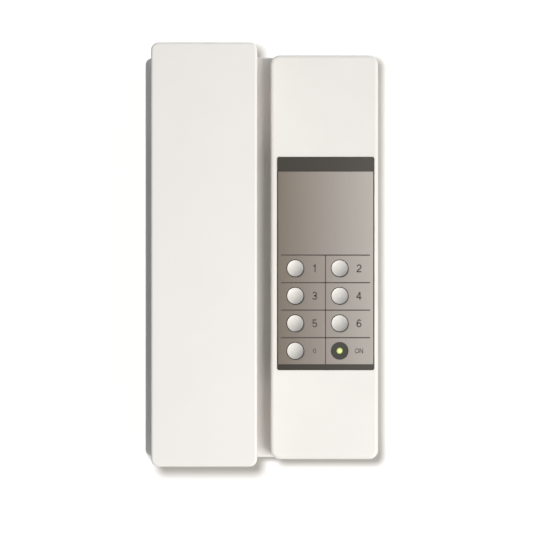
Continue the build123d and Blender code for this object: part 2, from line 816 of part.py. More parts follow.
# Domed key caps on their stems, each over a switch plunger
plunger_top_depth = switch_top_depth + switch_plunger_proud
dome_radius = (key_radius**2 + key_dome**2) / (2 * key_dome)
for index, (key_x, key_z) in enumerate(switch_places, start=1):
    with BuildPart() as key:
        with BuildSketch(Plane(origin=(key_x, 0, key_z), x_dir=(1, 0, 0), z_dir=(0, 0, 1))):
            with BuildLine():
                Polyline(
                    (0, -key_rim_depth - key_dome),
                    (0, -plunger_top_depth),
                    (key_stem_radius, -plunger_top_depth),
                    (key_stem_radius, -key_flange_depth + key_flange),
                    (key_flange_radius, -key_flange_depth + key_flange),
                    (key_flange_radius, -key_flange_depth),
                    (key_radius, -key_flange_depth),
                    (key_radius, -key_rim_depth),
                )
                RadiusArc((key_radius, -key_rim_depth), (0, -key_rim_depth - key_dome), dome_radius)
            make_face()
        revolve(axis=Axis((key_x, 0, key_z), (0, 1, 0)))
    key.part.label = f"key_{index}"
    export_step(key.part, f"parts/key_{index}.step")

    with BuildPart() as key_plunger:
        with BuildSketch(facing(plunger_top_depth)):
            with Locations((key_x, key_z)):
                Circle(switch_plunger_radius)
        extrude(amount=-switch_plunger_length)
    key_plunger.part.label = f"key_plunger_{index}"
    export_step(key_plunger.part, f"parts/key_plunger_{index}.step")

# Status lamp, the spacer that lifts it off the board, and the dark collar round it
lamp_x, lamp_z = lamp_place
with BuildPart() as status_lamp:
    with BuildSketch(facing(lamp_base_depth)):
        with Locations(lamp_place):
            Circle(lamp_flange_radius)
    extrude(amount=lamp_flange)
    with BuildSketch(facing(lamp_base_depth)):
        with Locations(lamp_place):
            Circle(lamp_radius)
    extrude(amount=lamp_tip_depth - lamp_base_depth - lamp_radius)
    with Locations((lamp_x, -(lamp_tip_depth - lamp_radius), lamp_z)):
        Sphere(lamp_radius)
    with BuildSketch(facing(lamp_base_depth)):
        with Locations(lamp_place):
            with GridLocations(lamp_lead_pitch, 0, 2, 1):
                Circle(lamp_lead_radius)
    extrude(amount=board_depth - lamp_base_depth)
status_lamp.part.label = "status_lamp"
export_step(status_lamp.part, "parts/status_lamp.step")

with BuildPart() as lamp_spacer:
    with BuildSketch(facing(board_depth)):
        with Locations(lamp_place):
            Circle(lamp_spacer_radius)
            with GridLocations(lamp_lead_pitch, 0, 2, 1):
                Circle(lamp_lead_radius + thread_gap, mode=Mode.SUBTRACT)
    extrude(amount=lamp_base_depth - board_depth)
lamp_spacer.part.label = "lamp_spacer"
export_step(lamp_spacer.part, "parts/lamp_spacer.step")

with BuildPart() as lamp_collar:
    with BuildSketch(facing(panel_seat_depth - key_flange)):
        with Locations(lamp_place):
            Circle(key_flange_radius)
    extrude(amount=key_flange)
    with BuildSketch(facing(panel_seat_depth)):
        with Locations(lamp_place):
            Circle(collar_radius)
    extrude(amount=collar_depth - panel_seat_depth)
    with BuildSketch(facing(panel_seat_depth - key_flange)):
        with Locations(lamp_place):
            Circle(collar_hole_radius)
    extrude(amount=collar_depth, mode=Mode.SUBTRACT)
lamp_collar.part.label = "lamp_collar"
export_step(lamp_collar.part, "parts/lamp_collar.step")

# Call speaker: pressed basket, paper cone and magnet, all turned about one axis
speaker_axis = Axis((speaker_x, 0, speaker_z), (0, 1, 0))
speaker_plane = Plane(origin=(speaker_x, 0, speaker_z), x_dir=(1, 0, 0), z_dir=(0, 0, 1))
rim_back_depth = floor_inside_depth - speaker_rim
rim_inner_radius = speaker_radius - speaker_rim_width
basket_bore_radius = basket_back_radius / 2
with BuildPart() as speaker_basket:
    with BuildSketch(speaker_plane):
        with BuildLine():
            Polyline(
                (speaker_radius, -floor_inside_depth),
                (rim_inner_radius, -floor_inside_depth),
                (rim_inner_radius, -rim_back_depth),
                (basket_back_radius - basket_wall, -basket_depth - basket_wall),
                (basket_bore_radius, -basket_depth - basket_wall),
                (basket_bore_radius, -basket_depth),
                (basket_back_radius, -basket_depth),
                (rim_inner_radius + basket_wall, -rim_back_depth),
                (speaker_radius, -rim_back_depth),
                close=True,
            )
        make_face()
    revolve(axis=speaker_axis)
speaker_basket.part.label = "speaker_basket"
export_step(speaker_basket.part, "parts/speaker_basket.step")

cone_rim_radius = rim_inner_radius - seat_gap
cone_front_depth = floor_inside_depth - cone_clear
with BuildPart() as speaker_cone:
    with BuildSketch(speaker_plane):
        with BuildLine():
            Polyline(
                (0, -cone_back_depth - cone_thickness),
                (0, -cone_back_depth),
                (cone_cap_radius, -cone_back_depth),
                (cone_rim_radius, -cone_front_depth),
                (cone_rim_radius, -cone_front_depth - cone_thickness),
                (cone_cap_radius, -cone_back_depth - cone_thickness),
                close=True,
            )
        make_face()
    revolve(axis=speaker_axis)
speaker_cone.part.label = "speaker_cone"
export_step(speaker_cone.part, "parts/speaker_cone.step")

with BuildPart() as speaker_magnet:
    with BuildSketch(facing(magnet_depth)):
        with Locations((speaker_x, speaker_z)):
            Circle(magnet_radius)
    extrude(amount=basket_depth - magnet_depth)
    chamfer(speaker_magnet.edges(), basket_wall)
speaker_magnet.part.label = "speaker_magnet"
export_step(speaker_magnet.part, "parts/speaker_magnet.step")

# Terminal block on the back plate, with a clamping screw for each wire
terminal_width = terminal_count * terminal_pitch
terminal_front_depth = back_inside_depth + terminal_depth_size
with BuildPart() as terminal_block:
    with BuildSketch(facing(back_inside_depth)):
        with Locations((terminal_x, terminal_z)):
            Rectangle(terminal_width, terminal_height)
    extrude(amount=terminal_depth_size)
    with BuildSketch(facing(terminal_front_depth)):
        with Locations((terminal_x, terminal_z)):
            with GridLocations(terminal_pitch, 0, terminal_count, 1):
                Circle(terminal_well_radius)
    extrude(amount=-terminal_well, mode=Mode.SUBTRACT)
    with BuildSketch(facing(terminal_front_depth)):
        with Locations((terminal_x, terminal_z)):
            with GridLocations(terminal_pitch, 0, terminal_count, 1):
                Circle(terminal_screw_shank + thread_gap)
    extrude(amount=-terminal_well - terminal_screw_length, mode=Mode.SUBTRACT)
    with BuildSketch(Plane.XY.offset(terminal_z + terminal_height / 2)):
        with Locations((terminal_x, -back_inside_depth - terminal_mouth_height)):
            with GridLocations(terminal_pitch, 0, terminal_count, 1):
                Rectangle(terminal_mouth_width, terminal_mouth_height)
    extrude(amount=-terminal_mouth_length, mode=Mode.SUBTRACT)
terminal_block.part.label = "terminal_block"
export_step(terminal_block.part, "parts/terminal_block.step")

with BuildPart() as terminal_screws:
    with BuildSketch(facing(terminal_front_depth - terminal_well)):
        with Locations((terminal_x, terminal_z)):
            with GridLocations(terminal_pitch, 0, terminal_count, 1):
                Circle(terminal_screw_radius)
    extrude(amount=terminal_screw_head)
    with BuildSketch(facing(terminal_front_depth - terminal_well)):
        with Locations((terminal_x, terminal_z)):
            with GridLocations(terminal_pitch, 0, terminal_count, 1):
                Circle(terminal_screw_shank)
    extrude(amount=-terminal_screw_length)
    with BuildSketch(facing(terminal_front_depth - terminal_well + terminal_screw_head)):
        with Locations((terminal_x, terminal_z)):
            with GridLocations(terminal_pitch, 0, terminal_count, 1):
                Rectangle(2 * terminal_screw_radius, terminal_slot_width)
    extrude(amount=-terminal_slot_width, mode=Mode.SUBTRACT)
terminal_screws.part.label = "terminal_screws"
export_step(terminal_screws.part, "parts/terminal_screws.step")

# Transformer, capacitors and chips on the back of the board
with BuildPart() as line_transformer:
    with BuildSketch(facing(board_back_depth)):
        with Locations((panel_middle_x, transformer_z)):
            Rectangle(transformer_width, transformer_height - 2 * core_margin)
    extrude(amount=-transformer_depth_size)
    with BuildSketch(facing(board_back_depth)):
        with Locations((panel_middle_x, transformer_z)):
            Rectangle(transformer_width - 2 * core_margin, transformer_height)
    extrude(amount=-transformer_depth_size + core_margin)
line_transformer.part.label = "line_transformer"
export_step(line_transformer.part, "parts/line_transformer.step")

with BuildPart() as capacitors:
    with BuildSketch(facing(board_back_depth)):
        with Locations((panel_middle_x, capacitor_z)):
            with GridLocations(capacitor_pitch, 0, capacitor_count, 1):
                Circle(capacitor_radius)
    extrude(amount=-capacitor_length)
capacitors.part.label = "capacitors"
export_step(capacitors.part, "parts/capacitors.step")

with BuildPart() as circuit_chips:
    with BuildSketch(facing(board_back_depth)):
        with Locations((panel_middle_x, chip_z)):
            with GridLocations(0, chip_pitch, 1, chip_count):
                Rectangle(chip_width, chip_height)
    extrude(amount=-chip_depth_size)
circuit_chips.part.label = "circuit_chips"
export_step(circuit_chips.part, "parts/circuit_chips.step")

# Modular socket in the base's lower wall
with BuildPart() as base_cord_socket:
    with BuildSketch(Plane.XY.offset(-base_top)):
        draw_socket_body(base_socket_x, base_socket_depth, 0)
    extrude(amount=socket_length)
    with BuildSketch(Plane.XY.offset(-base_top)):
        draw_socket_mouth(base_socket_x, base_socket_depth)
    extrude(amount=socket_mouth_length, mode=Mode.SUBTRACT)
base_cord_socket.part.label = "base_cord_socket"
export_step(base_cord_socket.part, "parts/base_cord_socket.step")

# Hook switch on the back plate, and the plunger that the handset holds down
with BuildPart() as hook_switch:
    with BuildSketch(facing(back_inside_depth)):
        with Locations((handset_middle_x, hook_switch_z)):
            Rectangle(hook_switch_width, hook_switch_height)
    extrude(amount=hook_switch_depth - back_inside_depth)
    with BuildSketch(facing(hook_switch_depth)):
        with Locations((handset_middle_x, hook_switch_z)):
            Circle(hook_button_radius)
    extrude(amount=hook_button)
hook_switch.part.label = "hook_switch"
export_step(hook_switch.part, "parts/hook_switch.step")

with BuildPart() as hook_plunger:
    with BuildSketch(facing(plunger_foot_depth)):
        with Locations((handset_middle_x, hook_switch_z)):
            Circle(hook_plunger_radius)
    extrude(amount=hook_tip_depth - plunger_foot_depth)
    fillet(hook_plunger.faces().sort_by(Axis.Y)[0].edges(), loose_gap)
    with BuildSketch(facing(plunger_flange_depth)):
        with Locations((handset_middle_x, hook_switch_z)):
            Circle(hook_plunger_flange_radius)
    extrude(amount=-hook_plunger_flange)
hook_plunger.part.label = "hook_plunger"
export_step(hook_plunger.part, "parts/hook_plunger.step")

# Handset front shell: the flat slab that faces the room
handset_screw_places = [(handset_middle_x, lower_screw_z), (handset_middle_x, upper_screw_z)]
front_shell_depth = handset_parting_depth + handset_parting_gap
with BuildPart() as handset_front_shell:
    with BuildSketch(facing(front_shell_depth)):
        draw_handset_outline(0)
    extrude(amount=handset_front_depth - front_shell_depth)
    fillet(handset_front_shell.faces().sort_by(Axis.Y)[0].edges(), handset_edge_round)
    with BuildSketch(facing(front_shell_depth)):
        draw_handset_outline(handset_wall)
    extrude(amount=handset_inside_depth - front_shell_depth, mode=Mode.SUBTRACT)
    with BuildSketch(facing(front_shell_depth)):
        with Locations(*handset_screw_places):
            Circle(handset_boss_radius - handset_wall / 2)
            Circle(handset_screw_radius + thread_gap, mode=Mode.SUBTRACT)
    extrude(amount=handset_inside_depth - front_shell_depth)
    with BuildSketch(Plane.XY.offset(handset_bottom - overrun)):
        draw_socket_body(handset_middle_x, handset_socket_depth, seat_gap)
    extrude(amount=handset_wall + 2 * overrun, mode=Mode.SUBTRACT)
handset_front_shell.part.label = "handset_front_shell"
export_step(handset_front_shell.part, "parts/handset_front_shell.step")

# Handset back shell: thick ear and mouth ends, with the grip between them
outer_points = back_shell_points(0, handset_parting_depth)
inner_points = back_shell_points(handset_wall, handset_parting_depth + overrun)
with BuildPart() as handset_back_shell:
    with BuildSketch(Plane.YZ.offset(handset_left)):
        with BuildLine():
            Polyline(*outer_points, close=True)
        make_face()
        fillet(corners_at(outer_points, (1, 6)), end_round)
        fillet(corners_at(outer_points, (2, 3)), notch_round)
        fillet(corners_at(outer_points, (4, 5)), heel_round)
    extrude(amount=handset_width)
    with BuildSketch(facing(cup_block_depth - overrun)):
        draw_handset_outline(0)
    extrude(amount=handset_parting_depth, mode=Mode.INTERSECT)
    with BuildSketch(facing(cup_depth)):
        with Locations((handset_middle_x, ear_cup_z)):
            Circle(ear_cup_radius)
        with Locations((handset_middle_x, mouth_cup_z)):
            Circle(mouth_cup_radius)
    extrude(amount=cup_block_depth - cup_depth + handset_wall)
    fillet(handset_back_shell.faces().group_by(Axis.Y)[-1].edges(), cup_edge_round)
    with BuildSketch(Plane.YZ.offset(handset_left + handset_wall)):
        with BuildLine():
            Polyline(*inner_points, close=True)
        make_face()
    extrude(amount=handset_width - 2 * handset_wall, mode=Mode.SUBTRACT)
    with BuildSketch(facing(cup_depth + handset_wall)):
        with Locations((handset_middle_x, ear_cup_z)):
            Circle(ear_cup_radius - handset_wall)
        with Locations((handset_middle_x, mouth_cup_z)):
            Circle(mouth_cup_radius - handset_wall)
    extrude(amount=cup_block_depth - cup_depth, mode=Mode.SUBTRACT)
    # sound holes
    with BuildSketch(facing(cup_depth - overrun)):
        with Locations((handset_middle_x, ear_cup_z)):
            Circle(ear_hole_radius)
            for ring in range(1, ear_hole_rings):
                with PolarLocations(ring * ear_ring_step, 6 * ring):
                    Circle(ear_hole_radius)
        with Locations((handset_middle_x, mouth_cup_z)):
            Circle(mouth_hole_radius)
            with PolarLocations(mouth_ring_radius, 6):
                Circle(mouth_hole_radius)
    extrude(amount=handset_wall + 2 * overrun, mode=Mode.SUBTRACT)
    # rib ring that holds the microphone's boot
    with BuildSketch(facing(cup_depth + handset_wall)):
        with Locations((handset_middle_x, mouth_cup_z)):
            Circle(microphone_radius + boot_wall + seat_gap + rib_wall)
            Circle(microphone_radius + boot_wall + seat_gap, mode=Mode.SUBTRACT)
    extrude(amount=rib_height)
    # screw bosses with sunk heads
    with BuildSketch(facing(grip_depth + handset_wall)):
        with Locations(*handset_screw_places):
            Circle(handset_boss_radius)
    extrude(amount=handset_parting_depth - grip_depth - handset_wall)
    with BuildSketch(facing(grip_depth)):
        with Locations(*handset_screw_places):
            Circle(handset_screw_head_radius + seat_gap)
    extrude(amount=handset_head_seat, mode=Mode.SUBTRACT)
    with BuildSketch(facing(grip_depth)):
        with Locations(*handset_screw_places):
            Circle(handset_screw_radius + seat_gap)
    extrude(amount=handset_parting_depth, mode=Mode.SUBTRACT)
    with BuildSketch(Plane.XY.offset(handset_bottom - overrun)):
        draw_socket_body(handset_middle_x, handset_socket_depth, seat_gap)
    extrude(amount=handset_wall + 2 * overrun, mode=Mode.SUBTRACT)
handset_back_shell.part.label = "handset_back_shell"
export_step(handset_back_shell.part, "parts/handset_back_shell.step")

with BuildPart() as handset_screws:
    with BuildSketch(facing(grip_depth + handset_head_seat - handset_screw_head)):
        with Locations(*handset_screw_places):
            Circle(handset_screw_head_radius)
    extrude(amount=handset_screw_head)
    with BuildSketch(facing(grip_depth + handset_head_seat)):
        with Locations(*handset_screw_places):
            Circle(handset_screw_radius)
    extrude(amount=handset_screw_length)
handset_screws.part.label = "handset_screws"
export_step(handset_screws.part, "parts/handset_screws.step")

with BuildPart() as handset_cord_socket:
    with BuildSketch(Plane.XY.offset(handset_bottom)):
        draw_socket_body(handset_middle_x, handset_socket_depth, 0)
    extrude(amount=socket_length)
    with BuildSketch(Plane.XY.offset(handset_bottom)):
        draw_socket_mouth(handset_middle_x, handset_socket_depth)
    extrude(amount=socket_mouth_length, mode=Mode.SUBTRACT)
handset_cord_socket.part.label = "handset_cord_socket"
export_step(handset_cord_socket.part, "parts/handset_cord_socket.step")

# Receiver capsule on a foam gasket in the ear cup
receiver_depth = cup_depth + handset_wall + gasket_thickness
with BuildPart() as receiver_gasket:
    with BuildSketch(facing(cup_depth + handset_wall)):
        with Locations((handset_middle_x, ear_cup_z)):
            Circle(receiver_radius)
            Circle(receiver_radius - gasket_width, mode=Mode.SUBTRACT)
    extrude(amount=gasket_thickness)
receiver_gasket.part.label = "receiver_gasket"
export_step(receiver_gasket.part, "parts/receiver_gasket.step")

with BuildPart() as receiver_capsule:
    with BuildSketch(facing(receiver_depth)):
        with Locations((handset_middle_x, ear_cup_z)):
            Circle(receiver_radius)
    extrude(amount=receiver_rim)
    with BuildSketch(facing(receiver_depth)):
        with Locations((handset_middle_x, ear_cup_z)):
            Circle(receiver_body_radius)
    extrude(amount=receiver_rim + receiver_body)
receiver_capsule.part.label = "receiver_capsule"
export_step(receiver_capsule.part, "parts/receiver_capsule.step")

# Microphone in its rubber boot
boot_depth = cup_depth + handset_wall
with BuildPart() as microphone_boot:
    with BuildSketch(facing(boot_depth)):
        with Locations((handset_middle_x, mouth_cup_z)):
            Circle(microphone_radius + boot_wall)
    extrude(amount=boot_floor + microphone_length)
    with BuildSketch(facing(boot_depth + boot_floor)):
        with Locations((handset_middle_x, mouth_cup_z)):
            Circle(microphone_radius + seat_gap)
    extrude(amount=microphone_length, mode=Mode.SUBTRACT)
    with BuildSketch(facing(boot_depth)):
        with Locations((handset_middle_x, mouth_cup_z)):
            Circle(microphone_radius - boot_lip)
    extrude(amount=boot_floor, mode=Mode.SUBTRACT)
microphone_boot.part.label = "microphone_boot"
export_step(microphone_boot.part, "parts/microphone_boot.step")

with BuildPart() as microphone:
    with BuildSketch(facing(boot_depth + boot_floor)):
        with Locations((handset_middle_x, mouth_cup_z)):
            Circle(microphone_radius)
    extrude(amount=microphone_length)
microphone.part.label = "microphone"
export_step(microphone.part, "parts/microphone.step")

# Steel ballast glued inside the front shell
with BuildPart() as ballast_weight:
    with BuildSketch(facing(handset_inside_depth)):
        with Locations((handset_middle_x, (upper_screw_z + lower_screw_z) / 2)):
            RectangleRounded(ballast_width, ballast_length, ballast_round)
    extrude(amount=-ballast_thickness)
ballast_weight.part.label = "ballast_weight"
export_step(ballast_weight.part, "parts/ballast_weight.step")

# Connectors on the back of the board: for the speaker, hook switch, terminal block and cord socket
pair = 2
line_wires_top = terminal_z - terminal_height / 2 - wire_drop
line_wires_z = line_wires_top - spread(terminal_count, terminal_count - 1, wire_pitch)
socket_wires = 4
socket_wires_bottom = -base_top + socket_length + wire_drop
socket_wires_z = socket_wires_bottom + spread(socket_wires, socket_wires - 1, wire_pitch)
connectors = [
    (connector_x, speaker_wires_z, pair),
    (connector_x, hook_wires_z, pair),
    (connector_x, line_wires_z, terminal_count),
    (socket_connector_x, socket_wires_z, socket_wires),
]
with BuildPart() as board_connectors:
    for place_x, place_z, count in connectors:
        with BuildSketch(facing(board_back_depth)):
            with Locations((place_x, place_z)):
                Rectangle(connector_width, (count - 1) * wire_pitch + 2 * connector_side)
        extrude(amount=-connector_depth_size)
board_connectors.part.label = "board_connectors"
export_step(board_connectors.part, "parts/board_connectors.step")

# Wires from the back of the speaker to the board
speaker_wire_x = speaker_x + (magnet_radius + basket_back_radius) / 2
with BuildPart() as speaker_wires:
    for index in range(pair):
        aside = spread(pair, index, wire_pitch)
        add_wire(
            [
                (speaker_wire_x, -basket_depth, speaker_z + aside),
                (speaker_wire_x, -back_wire_depth, speaker_z + aside),
                (connector_x, -back_wire_depth, speaker_wires_z + aside),
                (connector_x, -connector_depth, speaker_wires_z + aside),
            ],
            [wire_bend, wire_bend],
        )
speaker_wires.part.label = "speaker_wires"
export_step(speaker_wires.part, "parts/speaker_wires.step")

# Wires from the hook switch to the board
with BuildPart() as hook_switch_wires:
    for index in range(pair):
        aside = spread(pair, index, wire_pitch)
        add_wire(
            [
                (handset_middle_x + hook_switch_width / 2, -back_wire_depth, hook_switch_z + aside),
                (handset_right, -back_wire_depth, hook_switch_z + aside),
                (connector_x, -back_wire_depth, hook_wires_z + aside),
                (connector_x, -connector_depth, hook_wires_z + aside),
            ],
            [wire_sweep, wire_bend],
        )
hook_switch_wires.part.label = "hook_switch_wires"
export_step(hook_switch_wires.part, "parts/hook_switch_wires.step")

# Wires from the terminal block to the board, nested so that none crosses another
with BuildPart() as line_wires:
    for index in range(terminal_count):
        start_x = terminal_x + spread(terminal_count, index, terminal_pitch)
        run_z = line_wires_top - (terminal_count - 1 - index) * wire_pitch
        add_wire(
            [
                (start_x, -back_wire_depth, terminal_z - terminal_height / 2),
                (start_x, -back_wire_depth, run_z),
                (connector_x, -back_wire_depth, run_z),
                (connector_x, -connector_depth, run_z),
            ],
            [wire_bend, wire_bend],
        )
line_wires.part.label = "line_wires"
export_step(line_wires.part, "parts/line_wires.step")

# Wires from the base's cord socket to the board
with BuildPart() as base_socket_wires:
    for index in range(socket_wires):
        start_x = base_socket_x + spread(socket_wires, index, wire_pitch)
        run_z = socket_wires_bottom + (socket_wires - 1 - index) * wire_pitch
        add_wire(
            [
                (start_x, -base_socket_depth, -base_top + socket_length),
                (start_x, -base_socket_depth, run_z),
                (socket_connector_x, -base_socket_depth, run_z),
                (socket_connector_x, -connector_depth, run_z),
            ],
            [wire_bend, wire_bend],
        )
base_socket_wires.part.label = "base_socket_wires"
export_step(base_socket_wires.part, "parts/base_socket_wires.step")

# Wires in the handset: two along the grip to the receiver, and two to the microphone
receiver_back_depth = receiver_depth + receiver_rim + receiver_body
microphone_back_depth = boot_depth + boot_floor + microphone_length
socket_back_z = handset_bottom + socket_length
with BuildPart() as handset_wires:
    for index in range(socket_wires):
        wire_x = handset_middle_x + spread(socket_wires, index, wire_pitch)
        if index < pair:
            side_x = wire_x - handset_wire_side
            add_wire(
                [
                    (wire_x, -handset_socket_depth, socket_back_z),
                    (wire_x, -handset_socket_depth, socket_back_z + wire_drop),
                    (side_x, -handset_wire_depth, mouth_block_z),
                    (side_x, -handset_wire_depth, ear_block_z),
                    (wire_x, -handset_wire_depth, ear_cup_z),
                    (wire_x, -receiver_back_depth, ear_cup_z),
                ],
                [wire_bend, wire_sweep, wire_sweep, wire_bend],
            )
        else:
            add_wire(
                [
                    (wire_x, -handset_socket_depth, socket_back_z),
                    (wire_x, -handset_socket_depth, mouth_cup_z),
                    (wire_x, -microphone_back_depth, mouth_cup_z),
                ],
                [wire_bend],
            )
handset_wires.part.label = "handset_wires"
export_step(handset_wires.part, "parts/handset_wires.step")
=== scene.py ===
import math

import bpy
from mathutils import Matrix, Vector


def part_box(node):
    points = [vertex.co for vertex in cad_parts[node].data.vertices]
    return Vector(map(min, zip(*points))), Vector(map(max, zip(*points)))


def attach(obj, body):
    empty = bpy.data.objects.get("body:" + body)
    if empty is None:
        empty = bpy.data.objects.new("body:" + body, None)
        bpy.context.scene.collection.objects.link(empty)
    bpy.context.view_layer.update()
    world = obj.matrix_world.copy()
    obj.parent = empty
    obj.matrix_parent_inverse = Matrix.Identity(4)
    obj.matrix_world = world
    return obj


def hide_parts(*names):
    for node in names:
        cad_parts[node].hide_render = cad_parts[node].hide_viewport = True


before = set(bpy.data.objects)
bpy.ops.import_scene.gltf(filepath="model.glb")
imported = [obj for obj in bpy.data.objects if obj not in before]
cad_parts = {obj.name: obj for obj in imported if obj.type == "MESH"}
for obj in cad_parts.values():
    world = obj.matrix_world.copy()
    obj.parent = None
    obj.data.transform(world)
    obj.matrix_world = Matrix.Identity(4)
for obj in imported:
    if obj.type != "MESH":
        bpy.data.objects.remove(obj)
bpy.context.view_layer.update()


# Wall bracket: a plate of zinc-plated sheet steel, pressed flat with four hooked tabs. Two screws hold it to
# the wall, and its tabs catch slots in the rear cover. The plating shows a faint spangle.
mm = 0.001


def seen(red, green, blue):
    """Colour from the values of 0 to 255 in which it is seen on a screen."""
    shares = [value / 255 for value in (red, green, blue)]
    return [share / 12.92 if share <= 0.04045 else ((share + 0.055) / 1.055) ** 2.4 for share in shares] + [1]


def add_node(tree, kind, **settings):
    """Adds a node. A setting with a capital is a socket's value, and any other belongs to the node itself."""
    node = tree.nodes.new(kind)
    for name, value in settings.items():
        if name[0].isupper():
            node.inputs[name.replace("_", " ")].default_value = value
        else:
            setattr(node, name, value)
    return node


def link(tree, source, node, socket):
    """Feeds a node's socket, given by name or number, from another node."""
    tree.links.new(source, node.inputs[socket])


def feed(tree, value, socket):
    """Gives a socket what it needs: another socket to follow, or a plain number or colour."""
    if isinstance(value, bpy.types.NodeSocket):
        tree.links.new(value, socket)
    else:
        socket.default_value = value


def object_place(tree):
    """The shaded point in the piece's own coordinates, which are the frame's."""
    return add_node(tree, "ShaderNodeTexCoord").outputs["Object"]


def rescale(tree, value, **limits):
    """A value taken from one span to another. A limit that isn't given is 0 or 1."""
    span = add_node(tree, "ShaderNodeMapRange", **limits)
    link(tree, value, span, "Value")
    return span.outputs["Result"]


def blend(tree, mask, low, high):
    """Colour that goes from one to another with a mask."""
    mix = add_node(tree, "ShaderNodeMix", data_type="RGBA")
    link(tree, mask, mix, "Factor")
    feed(tree, low, mix.inputs["A"])
    feed(tree, high, mix.inputs["B"])
    return mix.outputs["Result"]


def start_finish(name, **settings):
    """New material with its Principled shader, whose even values are set straight on its sockets."""
    finish = bpy.data.materials.new(name)
    finish.use_nodes = True
    shader = finish.node_tree.nodes["Principled BSDF"]
    for label, value in settings.items():
        shader.inputs[label.replace("_", " ")].default_value = value
    return finish, finish.node_tree, shader


def mix_colours(tree, shader, mask, low, high):
    """Base colour that goes from one colour to another with a mask."""
    link(tree, blend(tree, mask, low, high), shader, "Base Color")


def spread_roughness(tree, shader, mask, smooth, rough):
    """Roughness that goes from one value to another with a mask."""
    link(tree, rescale(tree, mask, To_Min=smooth, To_Max=rough), shader, "Roughness")


def raise_surface(tree, shader, height, relief):
    """Bump of this real relief."""
    bump = add_node(tree, "ShaderNodeBump", Distance=relief)
    link(tree, height, bump, "Height")
    link(tree, bump.outputs["Normal"], shader, "Normal")


def dress(finish, *names):
    """Gives a finish to CAD nodes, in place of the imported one."""
    for name in names:
        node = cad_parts[name]
        node.data.materials.clear()
        node.data.materials.append(finish)


def cloud(tree, position, size, detail, sharpness):
    """Noise mask with patches about this large, pulled towards 0 and 1."""
    noise = add_node(tree, "ShaderNodeTexNoise", Detail=detail, Roughness=0.55, Scale=1 / size)
    link(tree, position, noise, "Vector")
    half_span = 0.5 / sharpness
    return rescale(tree, noise.outputs["Fac"], From_Min=0.5 - half_span, From_Max=0.5 + half_span)


def plate_steel(name, dull, bright, crystal):
    """Plated metal: crystals of slightly different brightness, and a cloudy sheen."""
    finish, tree, shader = start_finish(name, Metallic=1.0, Specular_IOR_Level=0.5)
    place = object_place(tree)
    crystals = add_node(tree, "ShaderNodeTexVoronoi", Scale=1 / crystal, Randomness=1.0)
    link(tree, place, crystals, "Vector")
    tone = add_node(tree, "ShaderNodeSeparateColor")
    link(tree, crystals.outputs["Color"], tone, "Color")
    mix_colours(tree, shader, tone.outputs["Red"], dull, bright)
    sheen = cloud(tree, place, size=9 * mm, detail=3.0, sharpness=2.0)
    spread_roughness(tree, shader, sheen, smooth=0.34, rough=0.5)
    pits = cloud(tree, place, size=0.4 * mm, detail=2.0, sharpness=1.5)
    raise_surface(tree, shader, pits, relief=0.006 * mm)
    return finish


zinc = plate_steel("zinc_plating", seen(168, 171, 172), seen(192, 195, 197), crystal=1.6 * mm)
dress(zinc, "wall_bracket")


# Rear cover: a shallow tray moulded in cream ABS, with a fine grain eroded into its mould.
# It hangs on the bracket, and a thin lip on its rim locates the front housing.
def work_out(tree, operation, *values):
    """Sum, product and so on, of sockets or numbers."""
    node = add_node(tree, "ShaderNodeMath", operation=operation)
    for index, value in enumerate(values):
        feed(tree, value, node.inputs[index])
    return node.outputs["Value"]


def start_effect(name, inputs, outputs):
    """Shader node group with these numbers going in and out. Returns it with its two ends."""
    effect = bpy.data.node_groups.new(name, "ShaderNodeTree")
    for label, value in inputs.items():
        socket = effect.interface.new_socket(label, in_out="INPUT", socket_type="NodeSocketFloat")
        socket.default_value = value
    for label in outputs:
        effect.interface.new_socket(label, in_out="OUTPUT", socket_type="NodeSocketFloat")
    return effect, effect.nodes.new("NodeGroupInput"), effect.nodes.new("NodeGroupOutput")


def add_effect(tree, effect, **values):
    """Puts an effect into a material with that material's own values. Returns what comes out of it."""
    node = add_node(tree, "ShaderNodeGroup", node_tree=effect)
    for label, value in values.items():
        node.inputs[label].default_value = value
    return node.outputs


def make_grain_effect():
    """Fine grain of a spark-eroded mould, and the broad, faint patches that the plastic's flow leaves."""
    sizes = {"Grain": 0.4 * mm, "Patch": 30 * mm}
    effect, given, result = start_effect("eroded_grain", sizes, ("Height", "Patches"))
    place = object_place(effect)
    for label, size, detail in (("Height", "Grain", 4.0), ("Patches", "Patch", 2.0)):
        noise = add_node(effect, "ShaderNodeTexNoise", Detail=detail, Roughness=0.6)
        link(effect, place, noise, "Vector")
        link(effect, work_out(effect, "DIVIDE", 1.0, given.outputs[size]), noise, "Scale")
        link(effect, rescale(effect, noise.outputs["Fac"], From_Min=0.3, From_Max=0.7), result, label)
    return effect


eroded_grain = make_grain_effect()


def mould_plastic(name, colour, patch_colour, grain, relief, smooth, rough, **settings):
    """Moulded plastic with an eroded grain, faint flow patches in its colour, and an uneven sheen."""
    finish, tree, shader = start_finish(name, IOR=1.5, **settings)
    grained = add_effect(tree, eroded_grain, Grain=grain)
    mix_colours(tree, shader, grained["Patches"], colour, patch_colour)
    spread_roughness(tree, shader, grained["Patches"], smooth, rough)
    raise_surface(tree, shader, grained["Height"], relief)
    return finish


cream_abs = mould_plastic(
    "cream_abs", seen(230, 226, 221), seen(227, 223, 218),
    grain=0.45 * mm, relief=0.012 * mm, smooth=0.45, rough=0.5,
)
dress(cream_abs, "rear_cover")


# Screws of plated steel with cross recesses: four in the case, four in the board, two in the handset and one
# in the hook peg. Each has a pan head, a core and a rolled thread, and is driven from behind.
screw_plating = plate_steel("screw_plating", seen(150, 150, 150), seen(178, 177, 174), crystal=0.5 * mm)


